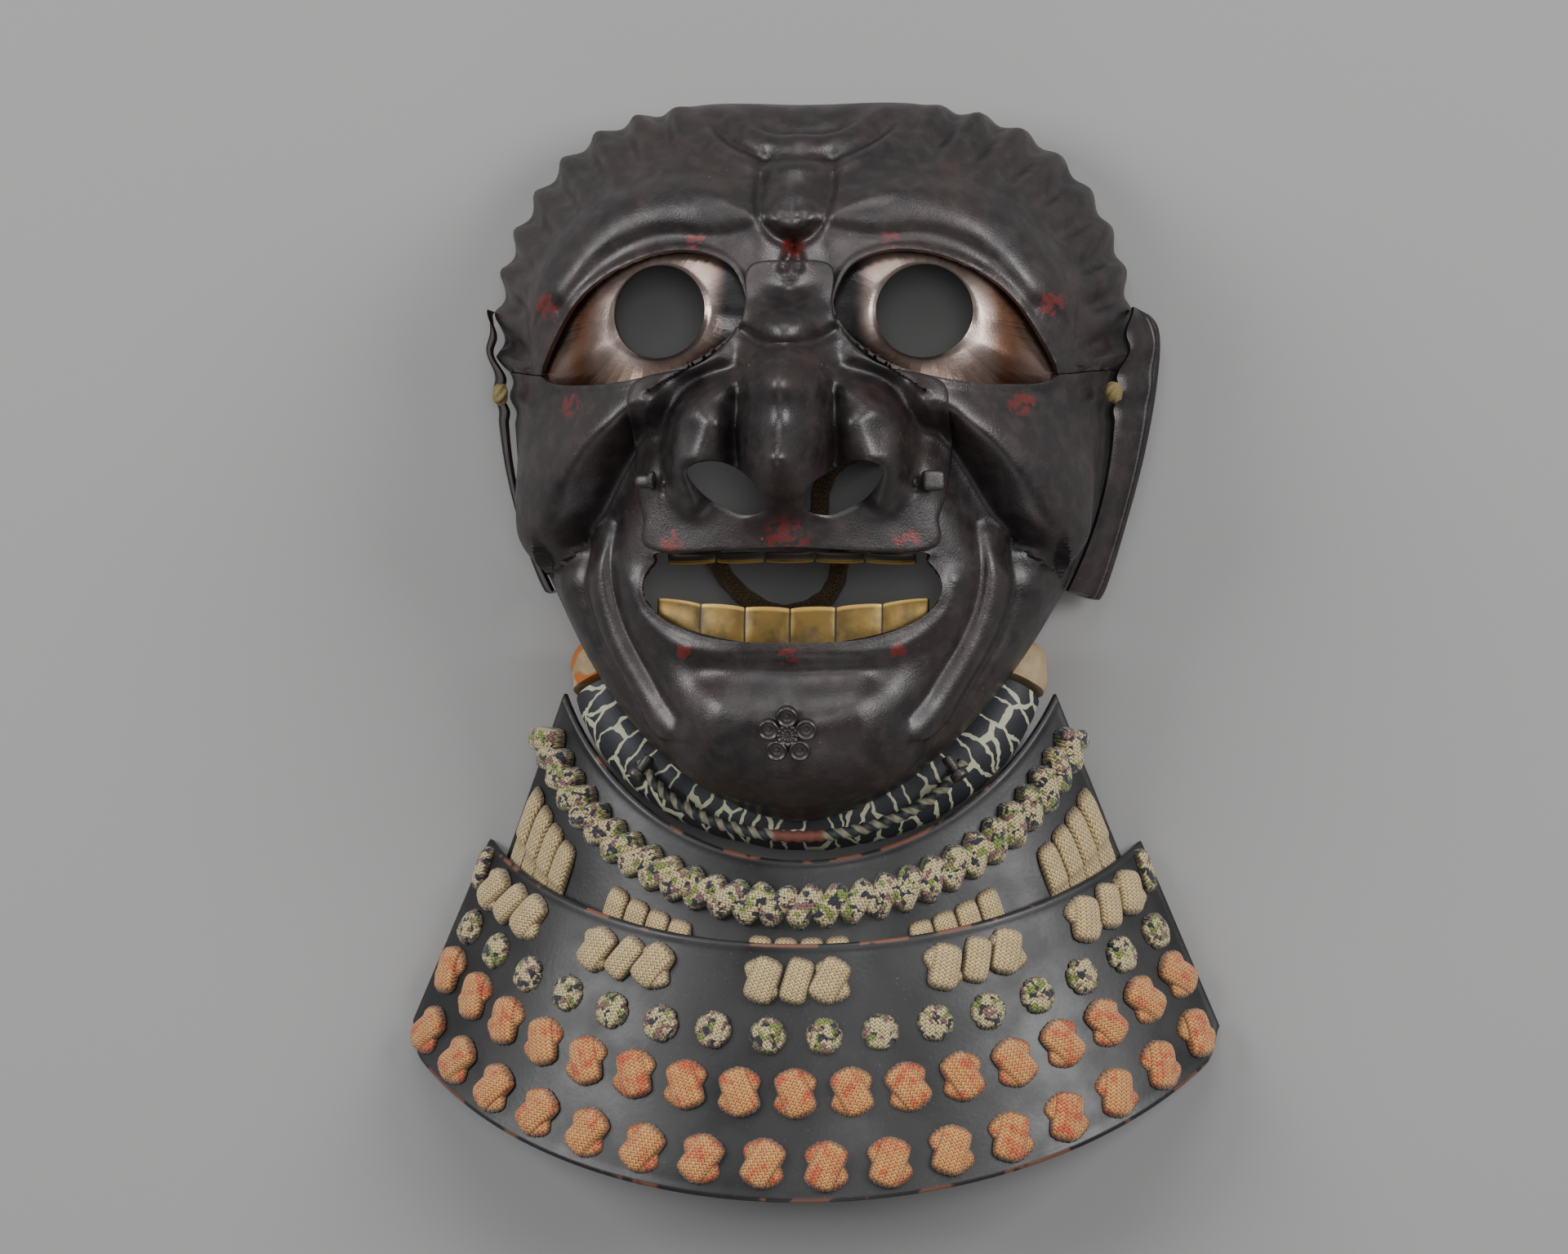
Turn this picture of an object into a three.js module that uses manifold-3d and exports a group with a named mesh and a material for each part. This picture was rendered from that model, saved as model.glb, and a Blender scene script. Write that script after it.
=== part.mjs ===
// Samurai face guard: an iron face with a detachable nose plate, a printed leather collar roll
// and two curved, laced throat lames. It lies on its back: +Z is up and out of the face,
// +Y points to the crown and +X is the left of the wearer. Millimetres.
import * as THREE from 'three';
import { mergeVertices, mergeGeometries } from 'three/addons/utils/BufferGeometryUtils.js';
import Module from 'manifold-3d';

const wasm = await Module();
wasm.setup();

// ---------------------------------------------------------------- driving dimensions
const GAP = 0.35;                 // clearance between two pieces that touch
const IRON = 1.6;                 // thickness of the iron plates
const FACE_CENTRE_Y = 57;         // middle of the face, behind the bridge of the nose
const FACE_CREST = 84;            // height of the plain dome under the sculpted forms
const FACE_MERIDIANS = { crown: 3, scallops: 28, chin: 11 };   // counts on one side of the face
const FACE_RINGS = 9;            // rings from the middle to the rim
const FACE_HUB = 0.1;             // the innermost ring, as a share of the reach
const EDGE_FROM = 0.72;           // share of the reach from which the relief leans outwards
const FADE_FROM = 0.93;           // share from which the relief dies away towards the rim
const LEAN = 0.8;                 // how much of the relief goes outwards at the rim
const FLATTEN = 0.6;              // how much of its height is lost there
const CUT_LOW = -10;              // cutting prisms run from below the part to above it
const CUT_HIGH = 150;

// Outline of the face from crown to chin: reach from the middle and height of the rim.
const FACE_OUTLINE = [
  { turn: 0, reach: 106, rim: 18 },
  { turn: 21, reach: 112.5, rim: 16 },
  { turn: 34, reach: 116.8, rim: 7 },
  { turn: 45, reach: 115.5, rim: 0 },
  { turn: 58, reach: 109, rim: 0 },
  { turn: 68, reach: 101.5, rim: 0 },
  { turn: 77, reach: 92.8, rim: 0 },
  { turn: 90, reach: 88.3, rim: 3 },
  { turn: 108, reach: 85.3, rim: 9 },
  { turn: 122, reach: 85, rim: 19 },
  { turn: 137, reach: 88.2, rim: 33 },
  { turn: 152, reach: 94.3, rim: 44 },
  { turn: 165, reach: 101, rim: 49 },
  { turn: 180, reach: 105.8, rim: 50 },
];
const SCALLOP = { from: 20, to: 84, lobes: 10, depth: 1.1, furrow: 1.0, band: 0.24 };

// Sculpted forms: each raises or sinks the iron near its line, and is mirrored in x.
const RELIEF = [
  { form: 'brow crest', rise: 6, spread: 10, line: [[9, 129], [24, 132], [42, 131], [58, 123], [70, 108]] },
  { form: 'brow root', rise: 3, spread: 6, line: [[0, 138], [0, 130]] },
  { form: 'bridge hollow', rise: -5, spread: 8, line: [[0, 117], [0, 108]] },
  { form: 'eye socket', rise: -3, spread: 7, line: [[16, 88], [30, 80], [50, 77], [66, 77]] },
  { form: 'cheek ball', rise: 8, spread: 12, line: [[47, 66], [56, 58], [63, 47]] },
  { form: 'cheek furrow', rise: -7, spread: 7, line: [[46, 54], [52, 43], [57, 32]] },
  { form: 'inner laugh line', rise: -2, spread: 3, line: [[50, 36], [52, 24], [48, 8], [36, -8]] },
  { form: 'outer laugh line', rise: -2, spread: 3, line: [[61, 32], [61, 19], [55, 6], [42, -12]] },
  { form: 'fold between', rise: 1.5, spread: 3, line: [[56, 31], [57, 20], [51, 6], [40, -9]] },
  { form: 'mouth rim', rise: 2, spread: 4, line: [[0, 1], [28, 2], [43, 11], [47, 21]] },
  { form: 'under lip', rise: -3, spread: 6, line: [[0, -6], [24, -5]] },
  { form: 'chin', rise: 14, spread: 18, line: [[0, -25], [20, -23]] },
];
const NOSE_RELIEF = [
  { form: 'bridge', rise: 9, spread: 9, line: [[0, 93], [0, 82]] },
  { form: 'ridge', rise: 21, spread: 11, line: [[0, 74], [0, 56]] },
  { form: 'tip', rise: 9, spread: 10, line: [[0, 54], [0, 48]] },
  { form: 'wing', rise: 13, spread: 9, line: [[19, 66], [22, 56]] },
  { form: 'wing ring', rise: 4, spread: 3.5, line: [[12, 77], [22, 75], [31, 66], [32, 54], [27, 44]] },
  { form: 'wing crease', rise: -5, spread: 3, line: [[12, 74], [12.5, 60], [12, 50]] },
];
const BROW_STEP = 3.5;            // how far the smooth brow pads stand above the furrowed band
const BROW_EDGE = [[0, 127], [10, 131], [25, 138], [44, 138], [62, 130], [75, 118], [82, 100], [80, 84]];

const EYE = [[13, 104], [18, 113], [30, 117.3], [45, 115.2], [60, 107], [70, 94.5], [75, 80.8], [60, 78.2],
  [44, 79.6], [30, 83.6], [19, 90.5], [13.5, 98]];
const EYE_METAL = 1;              // thickness of the copper eyes
const PUPIL = { x: 38.6, y: 99.3, radius: 13.8 };
const MOUTH = [[0, 3.4], [20, 4.2], [34, 8.4], [42, 14.5], [43.5, 21], [40, 26.5], [33, 30]];
const NOSTRIL = [[28.2, 52], [25, 54.8], [17.6, 55], [10, 50.5], [6.5, 46], [6, 41.5], [11, 40], [15.5, 41],
  [23.5, 45.5]];
const NOSE_PLATE = [[0, 114], [11.7, 112.3], [12.5, 102], [14, 95.5], [19.5, 88.4], [28, 82.9], [44.5, 78.4],
  [46.2, 66], [45.4, 50], [43, 40], [39.3, 30], [0, 30.6]];
const NOSE_OPENING = [[0, 80], [17, 77], [37, 71], [38.5, 50], [36, 38], [33, 22], [0, 22]];
const SEAM = [[120, 85], [92, 84.5], [74, 81.5], [40, 92], [13, 97], [0, 97]];
const CENTRE_SHIFT = -2.02;       // brings the middle of the whole outline onto the origin

// The two lames are parts of one kind of fan: both ends of its side edge and of its middle line.
const FAN_ANGLE = THREE.MathUtils.degToRad(65);
const UPPER_LAME = { side: [[73, -12, 16], [94.5, -68, 1.5]], middle: [[-60.5, 46], [-102, 50.5]] };
const LOWER_LAME = { side: [[97.4, -56, 0.65], [123, -116, 0.65]], middle: [[-84.6, 55], [-159.4, 63]] };
const LAME_THICKNESS = 2;
const LAME_COLUMNS = 24;
const ROUNDED_CORNER = 0.08;      // share of the lame's height lost at its lower corners
const FAN_SPREAD = 138;           // length along a lame of one unit across, near its middle

// Rows of lacing on the lower lame: how many crosses, how far down, pitch and size.
const LACE_ROWS = [
  { name: 'dot_lacing', count: 16, down: 0.36, pitch: 0.1225, wide: 11, tall: 11, thick: 2.8, sides: 6,
    silk: 'mixed' },
  { name: 'orange_lacing_upper', count: 17, down: 0.582, pitch: 0.1165, wide: 14, tall: 15.5, thick: 3.2,
    sides: 6, silk: 'orange' },
  { name: 'orange_lacing_lower', count: 16, down: 0.86, pitch: 0.123, wide: 15, tall: 15.5, thick: 3.2,
    sides: 6, silk: 'orange' },
];
const STRETCHES = 4;              // each row is threaded in this many stretches
const THREAD = { share: 0.02, thick: 1 };
const GROUPS = [
  { side: 'far_left', across: -0.8, from: -0.97, to: -0.72 },
  { side: 'left', across: -0.42, from: -0.57, to: -0.3 },
  { side: 'middle', across: 0, from: -0.14, to: 0.14 },
  { side: 'right', across: 0.42, from: 0.3, to: 0.57 },
  { side: 'far_right', across: 0.8, from: 0.72, to: 0.97 },
];
const FINGER = { from: 0.5, to: 0.9, thick: 2.9, thin: 0.9 };
const GROUP_FRONT = { down: 0.145, wide: 30, tall: 14, thick: 3.6 };
const ROPE = { middle: 0.33, ends: 0.21, reach: 0.97, wide: 9.5, thick: 6 };

const BLOSSOM = { y: -23, reach: 5.7, petal: 3.5, heart: 3.8, thick: 1.3, lift: 0.5 };
const COLLAR = { reach: 61, side: [1, 15.5], middle: [-47.5, 35.5], radius: 10.5, sides: 10 };
const PIPING = { reach: 50, side: [-22, 38.5], middle: [-54.3, 49.6], radius: 2.4, sides: 6 };
const EAR_OUTER = [[97, 103], [102.6, 96], [102, 80], [98, 58], [92, 34], [87, 18.5]];
const EAR = { thick: 1.4, high: 17, low: 5, rows: 9, columns: 3 };
const CORD = { radius: 2.8, sides: 8 };

const FINISH = {
  iron: { color: 0x2a2425, roughness: 0.45, metalness: 0.5 },
  lacquer: { color: 0x1b1a1b, roughness: 0.4, metalness: 0 },
  copper: { color: 0x7d6a60, roughness: 0.35, metalness: 0.9 },
  gilt: { color: 0x8a6a2c, roughness: 0.4, metalness: 0.9 },
  print: { color: 0x2c3238, roughness: 0.7, metalness: 0 },
  hide: { color: 0x9b8662, roughness: 0.8, metalness: 0 },
  beige: { color: 0xcdbc92, roughness: 0.85, metalness: 0 },
  mixed: { color: 0x9a9474, roughness: 0.85, metalness: 0 },
  orange: { color: 0xd98a4c, roughness: 0.85, metalness: 0 },
  brown: { color: 0x5d452a, roughness: 0.85, metalness: 0 },
};

// ---------------------------------------------------------------- small helpers
const face = new THREE.Group();
face.position.y = CENTRE_SHIFT;

function addPiece(name, geometry, finish) {
  const mesh = new THREE.Mesh(geometry, new THREE.MeshStandardMaterial(FINISH[finish]));
  mesh.name = name;
  face.add(mesh);
}

function mix(a, b, t) {
  return a + (b - a) * t;
}

function smooth(from, to, value) {
  return THREE.MathUtils.smoothstep(value, from, to);
}

// Mirrors a half outline that runs from the middle line over +x back to the middle line.
function mirrored(half) {
  const other = half.filter(([x]) => x > 0).map(([x, y]) => [-x, y]).reverse();
  return [...half, ...other];
}

function flipped(points) {
  return points.map(([x, y]) => [-x, y]).reverse();
}

function distanceToLine(x, y, line) {
  let nearest = Infinity;
  for (let i = 0; i + 1 < line.length; i++) {
    const [ax, ay] = line[i];
    const [bx, by] = line[i + 1];
    const along = ((x - ax) * (bx - ax) + (y - ay) * (by - ay)) / ((bx - ax) ** 2 + (by - ay) ** 2);
    const t = THREE.MathUtils.clamp(along, 0, 1);
    nearest = Math.min(nearest, Math.hypot(x - mix(ax, bx, t), y - mix(ay, by, t)));
  }
  return nearest;
}

// A closed mesh from its corner points and its triangles.
function meshFrom(points, triangles) {
  const geometry = new THREE.BufferGeometry();
  geometry.setAttribute('position', new THREE.Float32BufferAttribute(points.flat(), 3));
  geometry.setIndex(triangles.flat());
  return geometry;
}

function toSolid(geometry) {
  const bare = geometry.clone();
  bare.deleteAttribute('normal');
  bare.deleteAttribute('uv');
  const merged = mergeVertices(bare, 1e-4);
  return new wasm.Manifold(new wasm.Mesh({
    numProp: 3,
    vertProperties: new Float32Array(merged.attributes.position.array),
    triVerts: new Uint32Array(merged.index.array),
  }));
}

function fromSolid(solid) {
  const { vertProperties, triVerts } = solid.getMesh();
  const geometry = new THREE.BufferGeometry();
  geometry.setAttribute('position', new THREE.BufferAttribute(new Float32Array(vertProperties), 3));
  geometry.setIndex(new THREE.BufferAttribute(new Uint32Array(triVerts), 1));
  return geometry;
}

function joined(solids) {
  return solids.reduce((whole, solid) => whole.add(solid));
}

// An upright prism over an outline, for cutting.
function prism(outline, low, high) {
  const shape = new THREE.Shape(outline.map(([x, y]) => new THREE.Vector2(x, y)));
  const geometry = new THREE.ExtrudeGeometry(shape, { depth: high - low, bevelEnabled: false });
  return toSolid(geometry.translate(0, 0, low));
}

// A round outline through the given corners.
function rounded(corners, parts) {
  const curve = new THREE.CatmullRomCurve3(corners.map(([x, y]) => new THREE.Vector3(x, y, 0)), true);
  return curve.getPoints(parts).slice(0, -1).map((p) => [p.x, p.y]);
}

// A plate from a grid of outer points: the same grid moved inwards closes it. The grid is
// a list of rows; wrap joins the last column to the first.
function plate(outer, inner, wrap) {
  const rows = outer.length;
  const columns = outer[0].length;
  const points = [...outer.flat(), ...inner.flat()];
  const at = (side, row, column) => side * rows * columns + row * columns + (column % columns);
  const triangles = [];
  const quad = (a, b, c, d) => triangles.push([a, b, c], [a, c, d]);
  const lastColumn = wrap ? columns : columns - 1;
  const end = columns - 1;
  for (let i = 0; i + 1 < rows; i++) {
    for (let j = 0; j < lastColumn; j++) {
      quad(at(0, i, j), at(0, i + 1, j), at(0, i + 1, j + 1), at(0, i, j + 1));
      quad(at(1, i, j), at(1, i, j + 1), at(1, i + 1, j + 1), at(1, i + 1, j));
    }
  }
  for (let j = 0; j < lastColumn; j++) {
    quad(at(0, 0, j), at(0, 0, j + 1), at(1, 0, j + 1), at(1, 0, j));
    quad(at(0, rows - 1, j + 1), at(0, rows - 1, j), at(1, rows - 1, j), at(1, rows - 1, j + 1));
  }
  if (!wrap) {
    for (let i = 0; i + 1 < rows; i++) {
      quad(at(0, i + 1, 0), at(0, i, 0), at(1, i, 0), at(1, i + 1, 0));
      quad(at(0, i, end), at(0, i + 1, end), at(1, i + 1, end), at(1, i, end));
    }
  }
  return outward(meshFrom(points, triangles));
}

// Turns every triangle over if the mesh encloses a negative volume.
function outward(geometry) {
  const p = geometry.attributes.position.array;
  const order = geometry.index.array;
  let volume = 0;
  for (let i = 0; i < order.length; i += 3) {
    const [a, b, c] = [order[i] * 3, order[i + 1] * 3, order[i + 2] * 3];
    volume += p[a] * (p[b + 1] * p[c + 2] - p[b + 2] * p[c + 1])
      + p[a + 1] * (p[b + 2] * p[c] - p[b] * p[c + 2])
      + p[a + 2] * (p[b] * p[c + 1] - p[b + 1] * p[c]);
  }
  if (volume < 0) {
    for (let i = 0; i < order.length; i += 3) {
      [order[i + 1], order[i + 2]] = [order[i + 2], order[i + 1]];
    }
  }
  return geometry;
}

// A surface point and its unit normal, from a function of two parameters.
function withNormal(surface, u, v) {
  const step = 1e-3;
  const p = new THREE.Vector3(...surface(u, v));
  const du = new THREE.Vector3(...surface(u + step, v)).sub(new THREE.Vector3(...surface(u - step, v)));
  const dv = new THREE.Vector3(...surface(u, v + step)).sub(new THREE.Vector3(...surface(u, v - step)));
  const along = du.normalize();
  const normal = new THREE.Vector3().crossVectors(along, dv.normalize()).normalize();
  if (normal.z < 0) normal.negate();
  return { p, normal, along };
}

// Moves a surface point along its normal.
function lifted(surface, u, v, lift) {
  const { p, normal } = withNormal(surface, u, v);
  return p.addScaledVector(normal, lift).toArray();
}

// ---------------------------------------------------------------- the iron face
function outlineAt(turn) {
  const folded = Math.abs(((turn + 180) % 360 + 360) % 360 - 180);
  const next = Math.max(1, FACE_OUTLINE.findIndex((row) => row.turn >= folded));
  const rows = [next - 2, next - 1, next, next + 1];
  const pick = (i) => FACE_OUTLINE[Math.min(FACE_OUTLINE.length - 1, Math.abs(i))];
  const [before, a, b, after] = rows.map(pick);
  const t = (folded - a.turn) / (b.turn - a.turn);
  const slopeA = (b.reach - before.reach) / Math.max(1, b.turn - (rows[0] < 0 ? -before.turn : before.turn));
  const slopeB = (after.reach - a.reach) / Math.max(1, after.turn - a.turn);
  const span = b.turn - a.turn;
  const flatA = next === 1 ? 0 : slopeA * span;
  const flatB = next === FACE_OUTLINE.length - 1 ? 0 : slopeB * span;
  const reach = (2 * t ** 3 - 3 * t ** 2 + 1) * a.reach + (t ** 3 - 2 * t ** 2 + t) * flatA
    + (3 * t ** 2 - 2 * t ** 3) * b.reach + (t ** 3 - t ** 2) * flatB;
  const { from, to, lobes, depth } = SCALLOP;
  const inside = smooth(from - 4, from + 4, folded) * (1 - smooth(to - 6, to, folded));
  const wave = Math.cos((folded - from) / (to - from) * lobes * 2 * Math.PI) * inside;
  return { reach: reach + depth * wave, rim: mix(a.rim, b.rim, t), wave };
}

function sculpted(x, y, forms) {
  let rise = 0;
  for (const { rise: height, spread, line } of forms) {
    rise += height * Math.exp(-((distanceToLine(Math.abs(x), y, line) / spread) ** 2));
  }
  return rise;
}

// How far a place lies inside the edge of the brow pads, positive towards the eyes.
function insideBrow(x, y) {
  const across = Math.abs(x);
  let above = y > 84 && across > 80;
  for (let i = 0; i + 1 < BROW_EDGE.length; i++) {
    const [ax, ay] = BROW_EDGE[i];
    const [bx, by] = BROW_EDGE[i + 1];
    if (across >= Math.min(ax, bx) && across <= Math.max(ax, bx) && bx > ax) {
      above = y > mix(ay, by, (across - ax) / (bx - ax));
    }
  }
  return distanceToLine(across, y, BROW_EDGE) * (above ? -1 : 1);
}

// The face as a dome: turn runs clockwise from the crown in degrees, share from the middle
// to the rim. The relief lifts it straight up, and outwards near the rim.
function facePoint(turn, share) {
  const { reach, rim, wave } = outlineAt(turn);
  const angle = THREE.MathUtils.degToRad(turn);
  const x = share * reach * Math.sin(angle);
  const y = FACE_CENTRE_Y + share * reach * Math.cos(angle);
  const height = Math.sqrt(Math.max(0, 1 - share ** 2));
  const edge = smooth(EDGE_FROM, 1, share);
  const fade = 1 - smooth(FADE_FROM, 1, share);
  const step = y > 80 ? BROW_STEP * (smooth(-2, 6, insideBrow(x, y)) - 1) * fade : 0;
  const furrow = SCALLOP.furrow * wave * smooth(1 - SCALLOP.band, 1, share) * fade;
  const rise = (sculpted(x, y, RELIEF) * fade + step + furrow) * (share < 1 ? 1 : 0);
  const lean = rise * edge * LEAN;
  return [
    x + lean * Math.sin(angle),
    y + lean * Math.cos(angle),
    rim + height * (FACE_CREST - rim) + rise * (1 - FLATTEN * edge),
  ];
}

// The direction and share of the dome under a place (x, y) inside the rim.
function faceAt(x, y) {
  const dy = y - FACE_CENTRE_Y;
  const turn = THREE.MathUtils.radToDeg(Math.atan2(x, dy));
  return [turn, Math.min(0.999, Math.hypot(x, dy) / outlineAt(turn).reach)];
}

// Height of the outer face over a place (x, y) inside the rim.
function faceHeight(x, y) {
  return facePoint(...faceAt(x, y))[2];
}

// The directions of the meridians, close together along the scalloped rim.
function faceTurns() {
  const { crown, scallops, chin } = FACE_MERIDIANS;
  const spread = (from, to, count) => Array.from({ length: count }, (_, i) => mix(from, to, i / count));
  const low = SCALLOP.from - 4;
  const high = SCALLOP.to + 4;
  const half = [...spread(0, low, crown), ...spread(low, high, scallops), ...spread(high, 180, chin), 180];
  return [...half, ...half.slice(1, -1).reverse().map((turn) => 360 - turn)];
}

function faceShell() {
  const turns = faceTurns();
  const outer = [];
  const inner = [];
  const first = Math.asin(FACE_HUB);
  for (let i = 0; i <= FACE_RINGS; i++) {
    const share = Math.sin(mix(first, Math.PI / 2, i / FACE_RINGS));
    const outerRow = [];
    const innerRow = [];
    for (const turn of turns) {
      outerRow.push(facePoint(turn, share));
      if (i === FACE_RINGS) {
        const [x, y, z] = facePoint(turn, 1);
        const reach = Math.hypot(x, y - FACE_CENTRE_Y);
        const keep = (reach - IRON) / reach;
        innerRow.push([x * keep, FACE_CENTRE_Y + (y - FACE_CENTRE_Y) * keep, z]);
      } else {
        innerRow.push(lifted(facePoint, turn, share, -IRON));
      }
    }
    outer.push(outerRow);
    inner.push(innerRow);
  }
  return toSolid(plate(outer, inner, true));
}

function facePlates() {
  const eyeHole = rounded(EYE, 26);
  const eyes = joined([prism(eyeHole, CUT_LOW, CUT_HIGH), prism(flipped(eyeHole), CUT_LOW, CUT_HIGH)]);
  const mouth = rounded(mirrored(MOUTH), 28);
  const nose = mirrored(NOSE_OPENING);
  const holes = joined([eyes, prism(mouth, CUT_LOW, CUT_HIGH), prism(nose, CUT_LOW, CUT_HIGH)]);
  const shell = faceShell().subtract(holes);
  const seam = [...SEAM, ...SEAM.slice(0, -1).reverse().map(([x, y]) => [-x, y])];
  const above = [[-120, 220], [120, 220], ...seam];
  const below = [[120, -120], [-120, -120], ...seam.map(([x, y]) => [x, y - GAP]).reverse()];
  addPiece('brow_plate', fromSolid(shell.intersect(prism(above, CUT_LOW, CUT_HIGH))), 'iron');
  addPiece('jaw_plate', fromSolid(shell.intersect(prism(below, CUT_LOW, CUT_HIGH))), 'iron');
}

// A plate that lies over the face, ring by ring from a centre to its outline.
function overlay(centre, outline, rings, lift, thick, forms) {
  const outer = [];
  const inner = [];
  for (let i = 0; i <= rings; i++) {
    const share = mix(0.08, 1, i / rings);
    const places = outline.map(([x, y]) => [mix(centre[0], x, share), mix(centre[1], y, share)]);
    outer.push(places.map(([x, y]) => [x, y, faceHeight(x, y) + lift + thick + sculpted(x, y, forms)]));
    inner.push(places.map(([x, y]) => [x, y, faceHeight(x, y) + lift + sculpted(x, y, forms)]));
  }
  return { outer, inner };
}

// The nose plate laps over the brow, the cheeks and the upper lip, and carries the nostrils.
function nosePlate() {
  const outline = rounded(mirrored(NOSE_PLATE), 36);
  const { outer, inner } = overlay([0, 60], outline, 7, 5 * GAP, IRON, NOSE_RELIEF);
  const [top, bottom] = [outer, inner].map((rings) => [0, 60, rings[0][0][2]]);
  const solid = toSolid(closedDisc(outer, inner, top, bottom));
  const nostril = rounded(NOSTRIL, 14);
  const holes = joined([prism(nostril, CUT_LOW, CUT_HIGH), prism(flipped(nostril), CUT_LOW, CUT_HIGH)]);
  addPiece('nose_plate', fromSolid(solid.subtract(holes)), 'iron');
}

// Closes a ring grid with a fan of triangles at its middle.
function closedDisc(outer, inner, top, bottom) {
  const columns = outer[0].length;
  const rows = outer.length;
  const points = [...outer.flat(), ...inner.flat(), top, bottom];
  const under = rows * columns;
  const [topIndex, bottomIndex] = [2 * under, 2 * under + 1];
  const triangles = [];
  for (let j = 0; j < columns; j++) {
    const k = (j + 1) % columns;
    triangles.push([topIndex, j, k], [bottomIndex, under + k, under + j]);
    for (let i = 0; i + 1 < rows; i++) {
      const [a, b, c, d] = [i * columns + j, (i + 1) * columns + j, (i + 1) * columns + k, i * columns + k];
      triangles.push([a, b, c], [a, c, d]);
      triangles.push([under + a, under + c, under + b], [under + a, under + d, under + c]);
    }
    const last = (rows - 1) * columns;
    triangles.push([last + j, under + last + j, under + last + k], [last + j, under + last + k, last + k]);
  }
  return outward(meshFrom(points, triangles));
}

// A metal eye behind each opening: a bulged ring between the pupil and the lid.
function eyePlate(side) {
  const lid = rounded(EYE.map(([x, y]) => {
    const [dx, dy] = [x - PUPIL.x, y - PUPIL.y];
    const grow = 1 + 2 / Math.hypot(dx, dy);
    return [PUPIL.x + dx * grow, PUPIL.y + dy * grow];
  }), 26);
  const outer = [];
  const inner = [];
  for (const share of [0, 0.45, 1]) {
    const ring = lid.map(([x, y]) => {
      const angle = Math.atan2(y - PUPIL.y, x - PUPIL.x);
      const [px, py] = [PUPIL.x + PUPIL.radius * Math.cos(angle), PUPIL.y + PUPIL.radius * Math.sin(angle)];
      return faceAt(mix(px, x, share), mix(py, y, share));
    });
    const under = mix(0.5, IRON + 5 * GAP, Math.sqrt(share));
    const placed = (lift) => ring.map(([turn, at]) => {
      const [x, y, z] = lifted(facePoint, turn, at, lift);
      return [side * x, y, z];
    });
    outer.push(placed(-under));
    inner.push(placed(-under - EYE_METAL));
  }
  return plate(outer, inner, true);
}

// ---------------------------------------------------------------- teeth, ears and fittings
// A strip of teeth: an arc across the mouth, standing upright, with an uneven biting edge.
function teeth(half, y, bend, tall, deep, count) {
  const outer = [];
  const inner = [];
  const columns = 12;
  for (const row of [0, 1]) {
    outer.push([]);
    inner.push([]);
    for (let j = 0; j <= columns; j++) {
      const x = mix(-half, half, j / columns);
      const base = y + bend * (x / half) ** 2;
      const nick = 0.7 * Math.abs(Math.sin(j / columns * count * Math.PI)) ** 0.5;
      const biting = row === 1 ? tall + Math.sign(tall) * nick : 0;
      const z = faceHeight(x, base) - IRON - deep - (row ? 1.5 : 0);
      outer[row].push([x, base + biting, z]);
      inner[row].push([x, base + biting, z - 1.4]);
    }
  }
  return plate(outer, inner, false);
}

// Long thin ears flare from the side wall of the face.
function ear(side, splay) {
  const curve = new THREE.CatmullRomCurve3(EAR_OUTER.map(([x, y]) => new THREE.Vector3(x, y, 0)));
  const outer = [];
  const inner = [];
  for (let i = 0; i <= EAR.rows; i++) {
    const edge = curve.getPoint(i / EAR.rows);
    const turn = THREE.MathUtils.radToDeg(Math.atan2(edge.x, edge.y - FACE_CENTRE_Y));
    const { reach } = outlineAt(turn);
    const wall = [Math.sin(THREE.MathUtils.degToRad(turn)), Math.cos(THREE.MathUtils.degToRad(turn))];
    const root = reach + 0.5;
    const tip = Math.max(root + 1.5, root + (Math.hypot(edge.x, edge.y - FACE_CENTRE_Y) - root) * splay);
    outer.push([]);
    inner.push([]);
    for (let j = 0; j <= EAR.columns; j++) {
      const t = j / EAR.columns;
      const r = mix(root, tip, t);
      const z = mix(EAR.high, EAR.low, t) + 0.8 * Math.sin(t * Math.PI * 2);
      const place = (radius, height) => [side * radius * wall[0], FACE_CENTRE_Y + radius * wall[1], height];
      outer[i].push(place(r + EAR.thick * 0.7, z + EAR.thick * 0.7));
      inner[i].push(place(r, z));
    }
  }
  return plate(outer, inner, false);
}

// A turned piece standing on a place, with its axis along the given direction.
function turned(profile, sides, place, direction) {
  const points = profile.map(([r, h]) => new THREE.Vector2(r, h));
  const geometry = new THREE.LatheGeometry(points, sides);
  geometry.deleteAttribute('normal');
  geometry.deleteAttribute('uv');
  const whole = mergeVertices(geometry, 1e-4);
  const turn = new THREE.Quaternion().setFromUnitVectors(new THREE.Vector3(0, 1, 0),
    new THREE.Vector3(...direction).normalize());
  whole.applyQuaternion(turn);
  whole.translate(...place);
  return outward(whole);
}

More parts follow.
